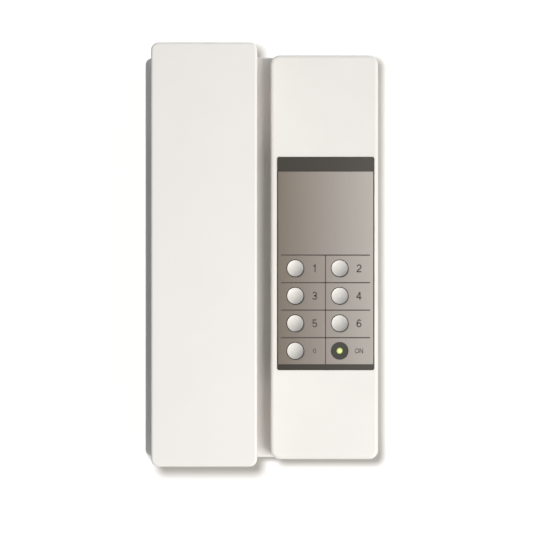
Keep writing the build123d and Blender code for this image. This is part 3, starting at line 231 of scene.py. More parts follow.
def start_shape(name, sizes, counts=()):
    """Geometry node tree that takes places as points, named sizes, counts and a finish."""
    tree = bpy.data.node_groups.new(name, "GeometryNodeTree")
    tree.interface.new_socket("Geometry", in_out="OUTPUT", socket_type="NodeSocketGeometry")
    tree.interface.new_socket("Places", in_out="INPUT", socket_type="NodeSocketGeometry")
    for label in sizes:
        tree.interface.new_socket(label, in_out="INPUT", socket_type="NodeSocketFloat")
    for label in counts:
        tree.interface.new_socket(label, in_out="INPUT", socket_type="NodeSocketInt")
    tree.interface.new_socket("Finish", in_out="INPUT", socket_type="NodeSocketMaterial")
    return tree, tree.nodes.new("NodeGroupInput").outputs


def part_of(tree, size, share):
    """A share of a size."""
    return work_out(tree, "MULTIPLY", size, share)


def point_at(tree, x=0.0, y=0.0, z=0.0):
    """Vector made of sockets or numbers."""
    node = add_node(tree, "ShaderNodeCombineXYZ")
    for label, value in (("X", x), ("Y", y), ("Z", z)):
        feed(tree, value, node.inputs[label])
    return node.outputs["Vector"]


def join(tree, *parts):
    """Several geometries as one."""
    node = add_node(tree, "GeometryNodeJoinGeometry")
    for part in parts:
        link(tree, part, node, "Geometry")
    return node.outputs["Geometry"]


def move(tree, part, translation=None, rotation=None):
    """Geometry moved or turned by vectors."""
    node = add_node(tree, "GeometryNodeTransform")
    link(tree, part, node, "Geometry")
    for label, value in (("Translation", translation), ("Rotation", rotation)):
        if value is not None:
            link(tree, value, node, label)
    return node.outputs["Geometry"]


def end_shape(tree, given, geometry):
    """Makes the instances real and gives the whole its finish."""
    real = add_node(tree, "GeometryNodeRealizeInstances")
    link(tree, geometry, real, "Geometry")
    coat = add_node(tree, "GeometryNodeSetMaterial")
    link(tree, real.outputs["Geometry"], coat, "Geometry")
    link(tree, given["Finish"], coat, "Material")
    link(tree, coat.outputs["Geometry"], add_node(tree, "NodeGroupOutput"), "Geometry")


def place_and_end(tree, given, part, turn=(0.0, 0.0, 0.0)):
    """Puts the part at each place, then makes all of it real and gives it its finish."""
    place = add_node(tree, "GeometryNodeInstanceOnPoints", Rotation=turn)
    link(tree, given["Places"], place, "Points")
    link(tree, part, place, "Instance")
    end_shape(tree, given, place.outputs["Instances"])


def grow(name, tree, body, finish, slot, places, lines=(), **sizes):
    """Piece that a tree makes at these places or lines. Its modifier goes before it rides on its body."""
    mesh = bpy.data.meshes.new(name)
    mesh.from_pydata(places, lines, [])
    piece = bpy.data.objects.new(name, mesh)
    bpy.context.collection.objects.link(piece)
    shape = piece.modifiers.new("shape", "NODES")
    shape.node_group = tree
    for socket in tree.interface.items_tree:
        if socket.in_out == "INPUT" and socket.name in sizes:
            shape[socket.identifier] = sizes[socket.name]
        if socket.in_out == "INPUT" and socket.name == "Finish":
            shape[socket.identifier] = finish
    bpy.context.view_layer.update()
    grown = bpy.data.meshes.new_from_object(piece.evaluated_get(bpy.context.evaluated_depsgraph_get()))
    piece.modifiers.clear()
    piece.data = grown
    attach(piece, body)
    return piece


def make_screw_tree():
    """Pan-head screw along Z: head above the place, threaded shank below, and a cross sunk in the head."""
    head_top_share, arm_length_share, arm_width_share, arm_rise_share = 0.8, 1.1, 0.24, 0.95
    core_top_share, core_tip_share = 0.76, 0.6
    crest_share, tooth_share, thread_length_share = 0.82, 0.17, 0.97
    tree, given = start_shape("cross_screw", ("Head radius", "Head height", "Radius", "Length", "Pitch"))
    head = add_node(tree, "GeometryNodeMeshCone", fill_type="NGON", Vertices=28)
    link(tree, part_of(tree, given["Head radius"], head_top_share), head, "Radius Top")
    link(tree, given["Head radius"], head, "Radius Bottom")
    link(tree, given["Head height"], head, "Depth")
    arm = add_node(tree, "GeometryNodeMeshCube")
    arm_length = part_of(tree, given["Head radius"], arm_length_share)
    arm_width = part_of(tree, given["Head radius"], arm_width_share)
    link(tree, point_at(tree, arm_length, arm_width, given["Head height"]), arm, "Size")
    arm_rise = point_at(tree, z=part_of(tree, given["Head height"], arm_rise_share))
    along = move(tree, arm.outputs["Mesh"], translation=arm_rise)
    across = move(tree, along, rotation=point_at(tree, z=math.pi / 2))
    cut = add_node(tree, "GeometryNodeMeshBoolean", operation="DIFFERENCE", solver="EXACT")
    link(tree, head.outputs["Mesh"], cut, "Mesh 1")
    link(tree, along, cut, "Mesh 2")
    link(tree, across, cut, "Mesh 2")
    core = add_node(tree, "GeometryNodeMeshCone", fill_type="NGON", Vertices=16)
    link(tree, part_of(tree, given["Radius"], core_top_share), core, "Radius Top")
    link(tree, part_of(tree, given["Radius"], core_tip_share), core, "Radius Bottom")
    link(tree, given["Length"], core, "Depth")
    below = point_at(tree, z=part_of(tree, given["Length"], -1.0))
    shank = move(tree, core.outputs["Mesh"], translation=below)
    ridge = add_node(tree, "GeometryNodeCurveSpiral", Resolution=16)
    link(tree, work_out(tree, "DIVIDE", given["Length"], given["Pitch"]), ridge, "Rotations")
    crest = part_of(tree, given["Radius"], crest_share)
    link(tree, crest, ridge, "Start Radius")
    link(tree, crest, ridge, "End Radius")
    link(tree, part_of(tree, given["Length"], thread_length_share), ridge, "Height")
    tooth = add_node(tree, "GeometryNodeCurvePrimitiveCircle", mode="RADIUS", Resolution=4)
    link(tree, part_of(tree, given["Radius"], tooth_share), tooth, "Radius")
    thread = add_node(tree, "GeometryNodeCurveToMesh")
    link(tree, ridge.outputs["Curve"], thread, "Curve")
    link(tree, tooth.outputs["Curve"], thread, "Profile Curve")
    turned = move(tree, thread.outputs["Mesh"], translation=below)
    whole = join(tree, cut.outputs["Mesh"], shank, turned)
    place_and_end(tree, given, whole, turn=(-math.pi / 2, 0.0, 0.0))
    return tree


cross_screw = make_screw_tree()


def place_across(low, high, inset):
    """Where screws stand across a box: near both ends, or in the middle of a box as narrow as one screw."""
    return [low + inset, high - inset] if high - low > 3 * inset else [(low + high) / 2]


def fit_screws(node, body, head_radius, head_height, radius, pitch):
    """Detailed screws in place of a CAD node, whose box gives where they are and how long."""
    low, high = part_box(node)
    across = place_across(low.x, high.x, head_radius)
    upwards = place_across(low.z, high.z, head_radius)
    piece = grow(
        node + "_threaded", cross_screw, body, screw_plating, "screw_steel",
        [(x, high.y - head_height, z) for x in across for z in upwards],
        **{"Head radius": head_radius, "Head height": head_height, "Radius": radius, "Pitch": pitch,
           "Length": high.y - low.y - head_height},
    )
    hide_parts(node)


for node, body, head_radius, head_height, radius, pitch in (
    ("case_screws", "station", 2.75 * mm, 2.0 * mm, 1.45 * mm, 1.2 * mm),
    ("board_screws", "station", 2.2 * mm, 1.4 * mm, 1.1 * mm, 0.8 * mm),
    ("hook_peg_screw", "station", 4.0 * mm, 1.6 * mm, 1.2 * mm, 1.0 * mm),
    ("handset_screws", "handset", 2.5 * mm, 1.6 * mm, 1.2 * mm, 1.0 * mm),
):
    fit_screws(node, body, head_radius, head_height, radius, pitch)


# Front housing: one cream moulding, which is the cradle floor with its two round recesses and the hollow
# column. It drops over the rear cover's lip, and the case screws hold it. The hook peg and plunger match it.
dress(cream_abs, "front_housing", "hook_peg", "hook_plunger")


# Rubber: three soft black pads in each recess, on which the cups rest, glued in.
# The receiver's gasket and the microphone's boot are of the same rubber.
soft_rubber = mould_plastic(
    "soft_rubber", seen(44, 44, 45), seen(52, 51, 51),
    grain=0.25 * mm, relief=0.01 * mm, smooth=0.62, rough=0.78,
)
dress(soft_rubber, "cradle_pads", "receiver_gasket", "microphone_boot")


# Key panel: a dark satin frame set into the column, with a wide band at its head and a thin one at its foot.
# It is moulded, pressed onto a ledge, and holds the plate. A painted sheen pales it a little from left to
# right.
def object_axes(tree):
    """X, Y and Z of the shaded point, each by its name."""
    split = add_node(tree, "ShaderNodeSeparateXYZ")
    link(tree, object_place(tree), split, "Vector")
    return split.outputs


# The share from left to right is the mask of the painted sheen on the frame and on the plate.
def make_fade_effect():
    """How far a point is from a left place to a right one."""
    effect, given, result = start_effect("painted_sheen_fade", {"Left": 0.0, "Right": 1.0}, ("Share",))
    span = add_node(effect, "ShaderNodeMapRange")
    link(effect, object_axes(effect)["X"], span, "Value")
    link(effect, given.outputs["Left"], span, "From Min")
    link(effect, given.outputs["Right"], span, "From Max")
    link(effect, span.outputs["Result"], result, "Share")
    return effect


painted_sheen_fade = make_fade_effect()


def make_frame_finish(left, right):
    """Dark satin plastic with a painted sheen that makes it a little paler towards its right edge."""
    finish, tree, shader = start_finish("bezel_black", IOR=1.5)
    # Painted sheen: the colour pales from the left edge to the right one.
    fade = add_effect(tree, painted_sheen_fade, Left=left, Right=right)
    grained = add_effect(tree, eroded_grain, Grain=0.3 * mm)
    mix_colours(tree, shader, fade["Share"], seen(55, 50, 43), seen(74, 69, 63))
    spread_roughness(tree, shader, grained["Patches"], smooth=0.36, rough=0.44)
    raise_surface(tree, shader, grained["Height"], relief=0.006 * mm)
    return finish


panel_low, panel_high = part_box("panel_bezel")
dress(make_frame_finish(panel_low.x, panel_high.x), "panel_bezel")


# Panel plate: thin aluminium, brushed upright and lacquered in a warm grey, with a painted sheen that makes
# its colour dark at the left and pale at the right. It is stuck into the frame, and its holes are punched.
def make_brush_effect():
    """Fine scratches along Z: their height, and their tone."""
    sizes = {"Line": 0.16 * mm, "Run": 30 * mm}
    effect, given, result = start_effect("brush_lines", sizes, ("Height", "Tone"))
    axes = object_axes(effect)
    across = work_out(effect, "DIVIDE", axes["X"], given.outputs["Line"])
    along = work_out(effect, "DIVIDE", axes["Z"], given.outputs["Run"])
    stretched = point_at(effect, across, 0.0, along)
    for label, detail, spread in (("Height", 3.0, 0.2), ("Tone", 1.0, 0.3)):
        noise = add_node(effect, "ShaderNodeTexNoise", Scale=1.0, Detail=detail, Roughness=0.6)
        link(effect, stretched, noise, "Vector")
        mask = rescale(effect, noise.outputs["Fac"], From_Min=0.5 - spread, From_Max=0.5 + spread)
        link(effect, mask, result, label)
    return effect


def make_plate_finish(left, right):
    """Brushed and lacquered metal with a painted sheen: its tint pales from the left edge to the right one.
    """
    finish, tree, shader = start_finish(
        "brushed_plate", Metallic=0.35, Specular_IOR_Level=0.4, Anisotropic=0.5
    )
    brushed = add_effect(tree, make_brush_effect())
    fade = add_effect(tree, painted_sheen_fade, Left=left, Right=right)
    # Painted sheen: the colour ramps from dark at the left edge to pale at the right one.
    painted_sheen_tint = add_node(tree, "ShaderNodeValToRGB")
    painted_sheen_tint.color_ramp.elements[0].color = seen(128, 118, 107)
    painted_sheen_tint.color_ramp.elements[1].color = seen(189, 182, 174)
    painted_sheen_tint.color_ramp.elements.new(0.5).color = seen(163, 154, 146)
    link(tree, fade["Share"], painted_sheen_tint, "Fac")
    tone = add_node(tree, "ShaderNodeVectorMath", operation="SCALE")
    link(tree, painted_sheen_tint.outputs["Color"], tone, "Vector")
    link(tree, rescale(tree, brushed["Tone"], To_Min=0.97, To_Max=1.03), tone, "Scale")
    link(tree, tone.outputs["Vector"], shader, "Base Color")
    spread_roughness(tree, shader, brushed["Tone"], smooth=0.38, rough=0.5)
    raise_surface(tree, shader, brushed["Height"], relief=0.003 * mm)
    return finish


plate_low, plate_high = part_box("panel_plate")
dress(make_plate_finish(plate_low.x, plate_high.x), "panel_plate")


# Printing on the plate: thin dark-brown rules that part the keys, screen-printed with raised ink.
# Four run across and one runs down between the two columns of keys.
def make_print_tree():
    """Ink of one width and thickness along lines drawn in X and Z. It stands out towards the front."""
    tree, given = start_shape("printed_lines", ("Width", "Thickness"))
    path = add_node(tree, "GeometryNodeMeshToCurve")
    link(tree, given["Places"], path, "Mesh")
    level = add_node(tree, "GeometryNodeSetCurveNormal", mode="Z_UP")
    flat = move(tree, path.outputs["Curve"], rotation=point_at(tree, x=-math.pi / 2))
    link(tree, flat, level, "Curve")
    band = add_node(tree, "GeometryNodeCurvePrimitiveQuadrilateral")
    link(tree, given["Width"], band, "Width")
    link(tree, given["Thickness"], band, "Height")
    ink = add_node(tree, "GeometryNodeCurveToMesh", Fill_Caps=True)
    link(tree, level.outputs["Curve"], ink, "Curve")
    link(tree, band.outputs["Curve"], ink, "Profile Curve")
    end_shape(tree, given, move(tree, ink.outputs["Mesh"], rotation=point_at(tree, x=math.pi / 2)))
    return tree


printed_lines = make_print_tree()
print_thickness = 0.03 * mm
print_ink = mould_plastic(
    "print_ink", seen(84, 77, 71), seen(79, 72, 66),
    grain=0.2 * mm, relief=0.003 * mm, smooth=0.5, rough=0.6,
)


def print_lines(name, lines, width):
    """Piece of ink along these lines, each a list of points in X and Z."""
    points, edges = [], []
    for line in lines:
        first = len(points)
        points += [(x, plate_low.y - print_thickness / 2, z) for x, z in line]
        edges += [(index, index + 1) for index in range(first, len(points) - 1)]
    grow(
        name, printed_lines, "station", print_ink, "bezel_plastic", points, edges,
        Width=width, Thickness=print_thickness,
    )


key_numbers = range(1, 8)
key_lows, key_highs = zip(*[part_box(f"key_{number}") for number in key_numbers])
key_centres = [(low + high) / 2 for low, high in zip(key_lows, key_highs)]
row_pitch = key_centres[0].z - key_centres[2].z
rule_count, rule_width, post_width = 4, 0.62 * mm, 0.53 * mm
rule_drop, rule_left_gap, rule_right_gap, post_shift = 0.3 * mm, 1.505 * mm, 1.695 * mm, 0.095 * mm
rule_left, rule_right = plate_low.x + rule_left_gap, plate_high.x - rule_right_gap
rule_top = key_centres[0].z + row_pitch / 2 - rule_drop
rule_heights = [rule_top - row * row_pitch for row in range(rule_count)]
post_x = (plate_low.x + plate_high.x) / 2 - post_shift
print_lines("printed_rules", [[(rule_left, z), (rule_right, z)] for z in rule_heights], rule_width)
print_lines("printed_post", [[(post_x, rule_top), (post_x, plate_low.z)]], post_width)


# Numerals beside the keys, printed with the same ink: 1 to 6, then 0 and ON in smaller type.
# Each is a few strokes of even width, level with its key and a key's width to its right.
def bend(x, z, half_width, half_height, start, end):
    """Points round part of an ellipse, from one angle to another, in degrees."""
    steps = 20
    turns = [math.radians(start + (end - start) * step / steps) for step in range(steps + 1)]
    return [(x + half_width * math.cos(turn), z + half_height * math.sin(turn)) for turn in turns]


stroke_shares = {
    "0": [bend(0, 0.5, 0.25, 0.44, 90, 450)],
    "1": [[(-0.2, 0.75), (-0.08, 0.79), (0.0, 0.86), (0.04, 0.96)], [(0.07, 0), (0.07, 1)]],
    "2": [
        bend(0, 0.69, 0.25, 0.25, 168, -28) + [(0.15, 0.47), (-0.06, 0.29), (-0.2, 0.15), (-0.25, 0.06)],
        [(-0.31, 0.06), (0.3, 0.06)],
    ],
    "3": [
        bend(0, 0.72, 0.23, 0.22, 158, -90) + [(-0.07, 0.5)],
        [(-0.07, 0.5)] + bend(0, 0.28, 0.26, 0.22, 90, -160),
    ],
    "4": [[(0.13, 0), (0.13, 1)], [(0.11, 0.95), (-0.29, 0.3)], [(-0.33, 0.28), (0.31, 0.28)]],
    "5": [
        [(-0.19, 0.94), (0.25, 0.94)],
        [(-0.16, 0.98), (-0.23, 0.46)],
        bend(0, 0.32, 0.26, 0.26, 148, -160),
    ],
    "6": [
        bend(0, 0.32, 0.25, 0.26, 90, 450),
        bend(0, 0.7, 0.22, 0.24, 22, 90) + bend(0, 0.42, 0.25, 0.52, 95, 185),
    ],
    "O": [bend(0, 0.5, 0.36, 0.44, 90, 450)],
    "N": [[(-0.3, 0), (-0.3, 1)], [(0.3, 0), (0.3, 1)], [(-0.3, 0.97), (0.3, 0.03)]],
}


def place_strokes(sign, x, z, height):
    """A sign's strokes at this height, round a point of the plate."""
    return [
        [(x + across * height, z + (up - 0.5) * height) for across, up in stroke]
        for stroke in stroke_shares[sign]
    ]


numeral_aside, numeral_height, numeral_width = 10.0 * mm, 4.0 * mm, 0.64 * mm
small_height, small_width, left_letter_share, right_letter_share = 2.5 * mm, 0.36 * mm, 0.43, 0.48
lamp_low, lamp_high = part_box("status_lamp")
lamp_x, lamp_z = (lamp_low.x + lamp_high.x) / 2, (lamp_low.z + lamp_high.z) / 2
*numbered_centres, last_centre = key_centres
numerals = []
for number, centre in enumerate(numbered_centres, start=1):
    numerals += place_strokes(str(number), centre.x + numeral_aside, centre.z, numeral_height)
print_lines("printed_numerals", numerals, numeral_width)
small_x = lamp_x + numeral_aside
small_signs = place_strokes("0", last_centre.x + numeral_aside, lamp_z, small_height)
small_signs += place_strokes("O", small_x - left_letter_share * small_height, lamp_z, small_height)
small_signs += place_strokes("N", small_x + right_letter_share * small_height, lamp_z, small_height)
print_lines("printed_small_signs", small_signs, small_width)


# Keys: seven domed caps of pale frosted plastic with flanges. Each stands on a stem over its switch, and
# passes through the plate with a narrow gap. Behind the plate's face each cap is painted near black: painted
# shade in the gap.
def make_key_finish():
    """Pale frosted plastic before the plate's face, and from there back near black: painted shade in the gap.
    """
    pale_from, painted_shade_from = plate_low.y - 0.25 * mm, plate_low.y - 0.15 * mm
    finish, tree, shader = start_finish("frosted_cap_painted_shade", IOR=1.5)
    grained = add_effect(tree, eroded_grain, Grain=0.5 * mm)
    cap = blend(tree, grained["Patches"], seen(200, 196, 191), seen(188, 184, 179))
    # Painted shade: near black behind the plate's face, where the gap round the key lies in shade.
    painted_gap_shade = rescale(tree, object_axes(tree)["Y"], From_Min=pale_from, From_Max=painted_shade_from)
    mix_colours(tree, shader, painted_gap_shade, cap, seen(26, 24, 23))
    spread_roughness(tree, shader, grained["Patches"], smooth=0.3, rough=0.42)
    raise_surface(tree, shader, grained["Height"], relief=0.05 * mm)
    return finish


dress(make_key_finish(), *[f"key_{number}" for number in key_numbers])


# Status lamp: a 3 mm lamp of diffusing yellow-green plastic, lit, in a dark satin collar the size of a key.
# The collar clips in from behind. A black spacer holds the lamp off the board.
def make_lamp_finish(x, z, radius):
    """Lit lens, whitest over the lamp's middle and greener towards its rim."""
    even_glow_share = 0.55
    finish, tree, shader = start_finish(
        "lamp_lens", Roughness=0.25, Base_Color=seen(117, 129, 59), Emission_Strength=1.0
    )
    axes = object_axes(tree)
    reach = add_node(tree, "ShaderNodeVectorMath", operation="DISTANCE")
    link(tree, point_at(tree, axes["X"], 0.0, axes["Z"]), reach, 0)
    reach.inputs[1].default_value = (x, 0.0, z)
    glow = add_node(tree, "ShaderNodeValToRGB")
    glow.color_ramp.elements[0].position = even_glow_share
    glow.color_ramp.elements[0].color = seen(214, 224, 158)
    glow.color_ramp.elements[1].color = seen(170, 184, 96)
    link(tree, work_out(tree, "DIVIDE", reach.outputs["Value"], radius), glow, "Fac")
    link(tree, glow.outputs["Color"], shader, "Emission Color")
    return finish


lamp_radius = 1.5 * mm
collar_black = mould_plastic(
    "collar_black", seen(60, 58, 51), seen(66, 64, 57),
    grain=0.25 * mm, relief=0.006 * mm, smooth=0.4, rough=0.5,
)
dress(make_lamp_finish(lamp_x, lamp_z, lamp_radius), "status_lamp")
dress(collar_black, "lamp_collar")


# Main board: glass laminate under a green solder mask, screwed to bosses behind the column's front.
# Copper tracks show through the mask as paler lines.
def make_board_finish():
    """Solder mask over a grid of tracks."""
    track_pitch = 14 * mm
    finish, tree, shader = start_finish("solder_mask", Roughness=0.32, Specular_IOR_Level=0.55)
    tracks = add_node(
        tree, "ShaderNodeTexBrick",
        Scale=1 / track_pitch, Mortar_Size=0.05, Mortar_Smooth=0.1, Brick_Width=0.5,
        Color1=seen(34, 88, 52), Color2=seen(38, 94, 56), Mortar=seen(74, 140, 84),
    )
    flat = add_node(tree, "ShaderNodeMapping", Rotation=(math.pi / 2, 0.0, 0.0))
    link(tree, object_place(tree), flat, "Vector")
    link(tree, flat.outputs["Vector"], tracks, "Vector")
    link(tree, tracks.outputs["Color"], shader, "Base Color")
    raise_surface(tree, shader, tracks.outputs["Fac"], relief=0.02 * mm)
    return finish


dress(make_board_finish(), "main_board")


# Switches, chips, plungers, the lamp's spacer and the hook switch: small parts moulded in black nylon.
# Those on the board are soldered. The hook switch is glued to the rear cover.
black_nylon = mould_plastic(
    "black_nylon", seen(40, 40, 41), seen(46, 46, 46),
    grain=0.2 * mm, relief=0.006 * mm, smooth=0.45, rough=0.55,
)
dress(
    black_nylon, "press_switches", "circuit_chips", "lamp_spacer", "hook_switch",
    *[f"key_plunger_{number}" for number in key_numbers],
)


# Line transformer: a varnished core with its winding, and three capacitors in dark blue sleeves beside it.
# Both are soldered to the back of the board.
varnished_core = mould_plastic(
    "varnished_core", seen(92, 84, 74), seen(80, 72, 62),
    grain=0.6 * mm, relief=0.03 * mm, smooth=0.35, rough=0.5,
)
blue_sleeve = mould_plastic(
    "blue_sleeve", seen(48, 58, 92), seen(44, 52, 84),
    grain=0.5 * mm, relief=0.005 * mm, smooth=0.25, rough=0.35,
)
dress(varnished_core, "line_transformer")
dress(blue_sleeve, "capacitors")


# Connectors of natural nylon on the board, and the grey terminal block with its four clamping screws.
# The block stands on the rear cover, with its wire mouths upwards.
pale_nylon = mould_plastic(
    "pale_nylon", seen(226, 221, 206), seen(218, 213, 198),
    grain=0.3 * mm, relief=0.01 * mm, smooth=0.4, rough=0.5,
)
block_grey = mould_plastic(
    "block_grey", seen(206, 207, 203), seen(198, 199, 196),
    grain=0.3 * mm, relief=0.01 * mm, smooth=0.4, rough=0.5,
)
dress(pale_nylon, "board_connectors")
dress(block_grey, "terminal_block")
dress(screw_plating, "terminal_screws")


# Wires: stranded copper in soft red-brown insulation, between the board's connectors and the parts on the
# rear cover, and along the inside of the handset.
wire_skin = mould_plastic(
    "wire_skin", seen(168, 62, 50), seen(154, 54, 44),
    grain=0.6 * mm, relief=0.01 * mm, smooth=0.35, rough=0.45,
)
dress(wire_skin, "speaker_wires", "hook_switch_wires", "line_wires", "base_socket_wires", "handset_wires")


# Call speaker: a pressed steel basket with a black paper cone and a ferrite magnet, held behind the floor's
# slots. A woven gauze keeps dust out of the slots.
def make_paper_finish():
    """Pressed paper: felted fibres, darker and paler by turns."""
    finish, tree, shader = start_finish("cone_paper", Roughness=0.85, Specular_IOR_Level=0.25)
    place = object_place(tree)
    felt = cloud(tree, place, size=0.7 * mm, detail=4.0, sharpness=2.0)
    mix_colours(tree, shader, felt, seen(44, 43, 42), seen(62, 60, 58))
    fibres = cloud(tree, place, size=0.3 * mm, detail=5.0, sharpness=1.5)
    raise_surface(tree, shader, fibres, relief=0.04 * mm)
    return finish


ferrite = mould_plastic(
    "ferrite", seen(62, 62, 64), seen(74, 73, 74),
    grain=0.3 * mm, relief=0.02 * mm, smooth=0.5, rough=0.65, Metallic=0.4,
)
dress(zinc, "speaker_basket")
dress(make_paper_finish(), "speaker_cone")
dress(ferrite, "speaker_magnet")
gauze_black = mould_plastic(
    "gauze_black", seen(34, 34, 35), seen(40, 40, 40),
    grain=0.2 * mm, relief=0.003 * mm, smooth=0.6, rough=0.7,
)


def make_gauze_tree():
    """Round woven gauze: threads both ways, each as long as its chord of the circle."""
    woven_share, weave_depth_share = 0.98, 0.7
    tree, given = start_shape("woven_gauze", ("Radius", "Pitch", "Thread"))
    woven_width = part_of(tree, given["Radius"], 2 * woven_share)
    line = add_node(tree, "GeometryNodeMeshLine", mode="END_POINTS")
    link(tree, work_out(tree, "DIVIDE", woven_width, given["Pitch"]), line, "Count")
    edge = part_of(tree, given["Radius"], woven_share)
    link(tree, point_at(tree, z=part_of(tree, edge, -1.0)), line, "Start Location")
    link(tree, point_at(tree, z=edge), line, "Offset")
    height = add_node(tree, "ShaderNodeSeparateXYZ")
    link(tree, add_node(tree, "GeometryNodeInputPosition").outputs["Position"], height, "Vector")
    share = work_out(tree, "DIVIDE", height.outputs["Z"], given["Radius"])
    chord = work_out(tree, "SQRT", work_out(tree, "SUBTRACT", 1.0, work_out(tree, "MULTIPLY", share, share)))
    thread = add_node(tree, "GeometryNodeMeshCylinder", fill_type="NGON", Vertices=6)
    link(tree, part_of(tree, given["Thread"], 0.5), thread, "Radius")
    link(tree, part_of(tree, given["Radius"], 2.0), thread, "Depth")
    lying = move(tree, thread.outputs["Mesh"], rotation=point_at(tree, y=math.pi / 2))
    across = add_node(tree, "GeometryNodeInstanceOnPoints")
    link(tree, line.outputs["Mesh"], across, "Points")
    link(tree, lying, across, "Instance")
    link(tree, point_at(tree, chord, 1.0, 1.0), across, "Scale")
    behind = point_at(tree, y=part_of(tree, given["Thread"], weave_depth_share))
    quarter_turn = point_at(tree, y=math.pi / 2)
    down = move(tree, across.outputs["Instances"], translation=behind, rotation=quarter_turn)
    place_and_end(tree, given, join(tree, across.outputs["Instances"], down))
    return tree


woven_gauze = make_gauze_tree()
gauze_thread, coarse_pitch, speaker_gauze_radius = 0.06 * mm, 0.8 * mm, 17.2 * mm
basket_low, basket_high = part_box("speaker_basket")
speaker_x, speaker_z = (basket_low.x + basket_high.x) / 2, (basket_low.z + basket_high.z) / 2
grow(
    "speaker_gauze", woven_gauze, "station", gauze_black, "switch_plastic",
    [(speaker_x, basket_low.y + gauze_thread, speaker_z)],
    Radius=speaker_gauze_radius, Pitch=coarse_pitch, Thread=gauze_thread,
)


# Cord sockets: black modular sockets in the lower ends of the base and the handset, for a plug-in cord.
# Each holds four sprung contact wires, plated with gold.
socket_black = mould_plastic(
    "socket_black", seen(36, 36, 37), seen(42, 42, 42),
    grain=0.3 * mm, relief=0.004 * mm, smooth=0.28, rough=0.36,
)
dress(socket_black, "base_cord_socket", "handset_cord_socket")


def make_contacts_tree():
    """Row of sprung wires along X, each rising from the mouth's floor towards its back."""
    tree, given = start_shape("sprung_contacts", ("Pitch", "Wire", "Reach", "Rise"), ("Contacts",))
    row = add_node(tree, "GeometryNodeMeshLine", mode="OFFSET")
    link(tree, given["Contacts"], row, "Count")
    link(tree, point_at(tree, given["Pitch"]), row, "Offset")
    spring = add_node(tree, "GeometryNodeCurveQuadraticBezier", Resolution=12, Start=(0.0, 0.0, 0.0))
    link(tree, point_at(tree, z=given["Reach"]), spring, "Middle")
    back = part_of(tree, given["Rise"], -1.0)
    link(tree, point_at(tree, y=back, z=given["Reach"]), spring, "End")
    ring = add_node(tree, "GeometryNodeCurvePrimitiveCircle", mode="RADIUS", Resolution=8)
    link(tree, part_of(tree, given["Wire"], 0.5), ring, "Radius")
    wire = add_node(tree, "GeometryNodeCurveToMesh", Fill_Caps=True)
    link(tree, spring.outputs["Curve"], wire, "Curve")
    link(tree, ring.outputs["Curve"], wire, "Profile Curve")
    repeat = add_node(tree, "GeometryNodeInstanceOnPoints")
    link(tree, row.outputs["Mesh"], repeat, "Points")
    link(tree, wire.outputs["Mesh"], repeat, "Instance")
    place_and_end(tree, given, repeat.outputs["Instances"])
    return tree


contact_gold = plate_steel("contact_gold", seen(206, 166, 84), seen(222, 184, 100), crystal=0.4 * mm)
contact_count, contact_pitch, contact_wire = 4, 1.02 * mm, 0.4 * mm
contact_reach, contact_rise, contact_depth, contact_foot = 8.6 * mm, 2.6 * mm, 1.1 * mm, 1.4 * mm
sprung_contacts = make_contacts_tree()
for node, body in (("base_cord_socket", "station"), ("handset_cord_socket", "handset")):
    low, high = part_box(node)
    first_x = (low.x + high.x) / 2 - (contact_count - 1) / 2 * contact_pitch
    grow(
        f"{node}_contacts", sprung_contacts, body, contact_gold, "microphone_can",
        [(first_x, high.y - contact_depth, low.z + contact_foot)],
        Contacts=contact_count, Pitch=contact_pitch, Wire=contact_wire, Reach=contact_reach,
        Rise=contact_rise,
    )


# Handset: two cream shells screwed together, a flat slab in front and thick ear and mouth ends behind.
# The shells have the base's grain, worn a little smoother by hands.
handset_cream = mould_plastic(
    "handset_cream", seen(232, 228, 223), seen(230, 226, 221),
    grain=0.45 * mm, relief=0.01 * mm, smooth=0.42, rough=0.47,
)
dress(handset_cream, "handset_front_shell", "handset_back_shell")


# Inside the handset: the receiver's black capsule, the microphone's aluminium can, and a steel ballast bar
# glued into the front shell. Finer gauze than the speaker's covers the sound holes from inside.
capsule_black = mould_plastic(
    "capsule_black", seen(42, 42, 42), seen(50, 50, 50),
    grain=0.3 * mm, relief=0.008 * mm, smooth=0.4, rough=0.5,
)
aluminium_can = plate_steel("aluminium_can", seen(196, 196, 198), seen(208, 208, 210), crystal=0.8 * mm)
ballast_bar = plate_steel("ballast_bar", seen(120, 120, 122), seen(142, 142, 143), crystal=2.5 * mm)
dress(capsule_black, "receiver_capsule")
dress(aluminium_can, "microphone")
dress(ballast_bar, "ballast_weight")
boot_low, boot_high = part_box("microphone_boot")
gasket_low, gasket_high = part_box("receiver_gasket")
fine_pitch, gauze_gap, ear_gauze_radius, mouth_gauze_radius = 0.5 * mm, 0.09 * mm, 9.6 * mm, 4.0 * mm
for name, low, high, radius in (
    ("ear_gauze", gasket_low, gasket_high, ear_gauze_radius),
    ("mouth_gauze", boot_low, boot_high, mouth_gauze_radius),
):
    grow(
        name, woven_gauze, "handset", gauze_black, "switch_plastic",
        [((low.x + high.x) / 2, high.y - gauze_gap, (low.z + high.z) / 2)],
        Radius=radius, Pitch=fine_pitch, Thread=gauze_thread,
    )


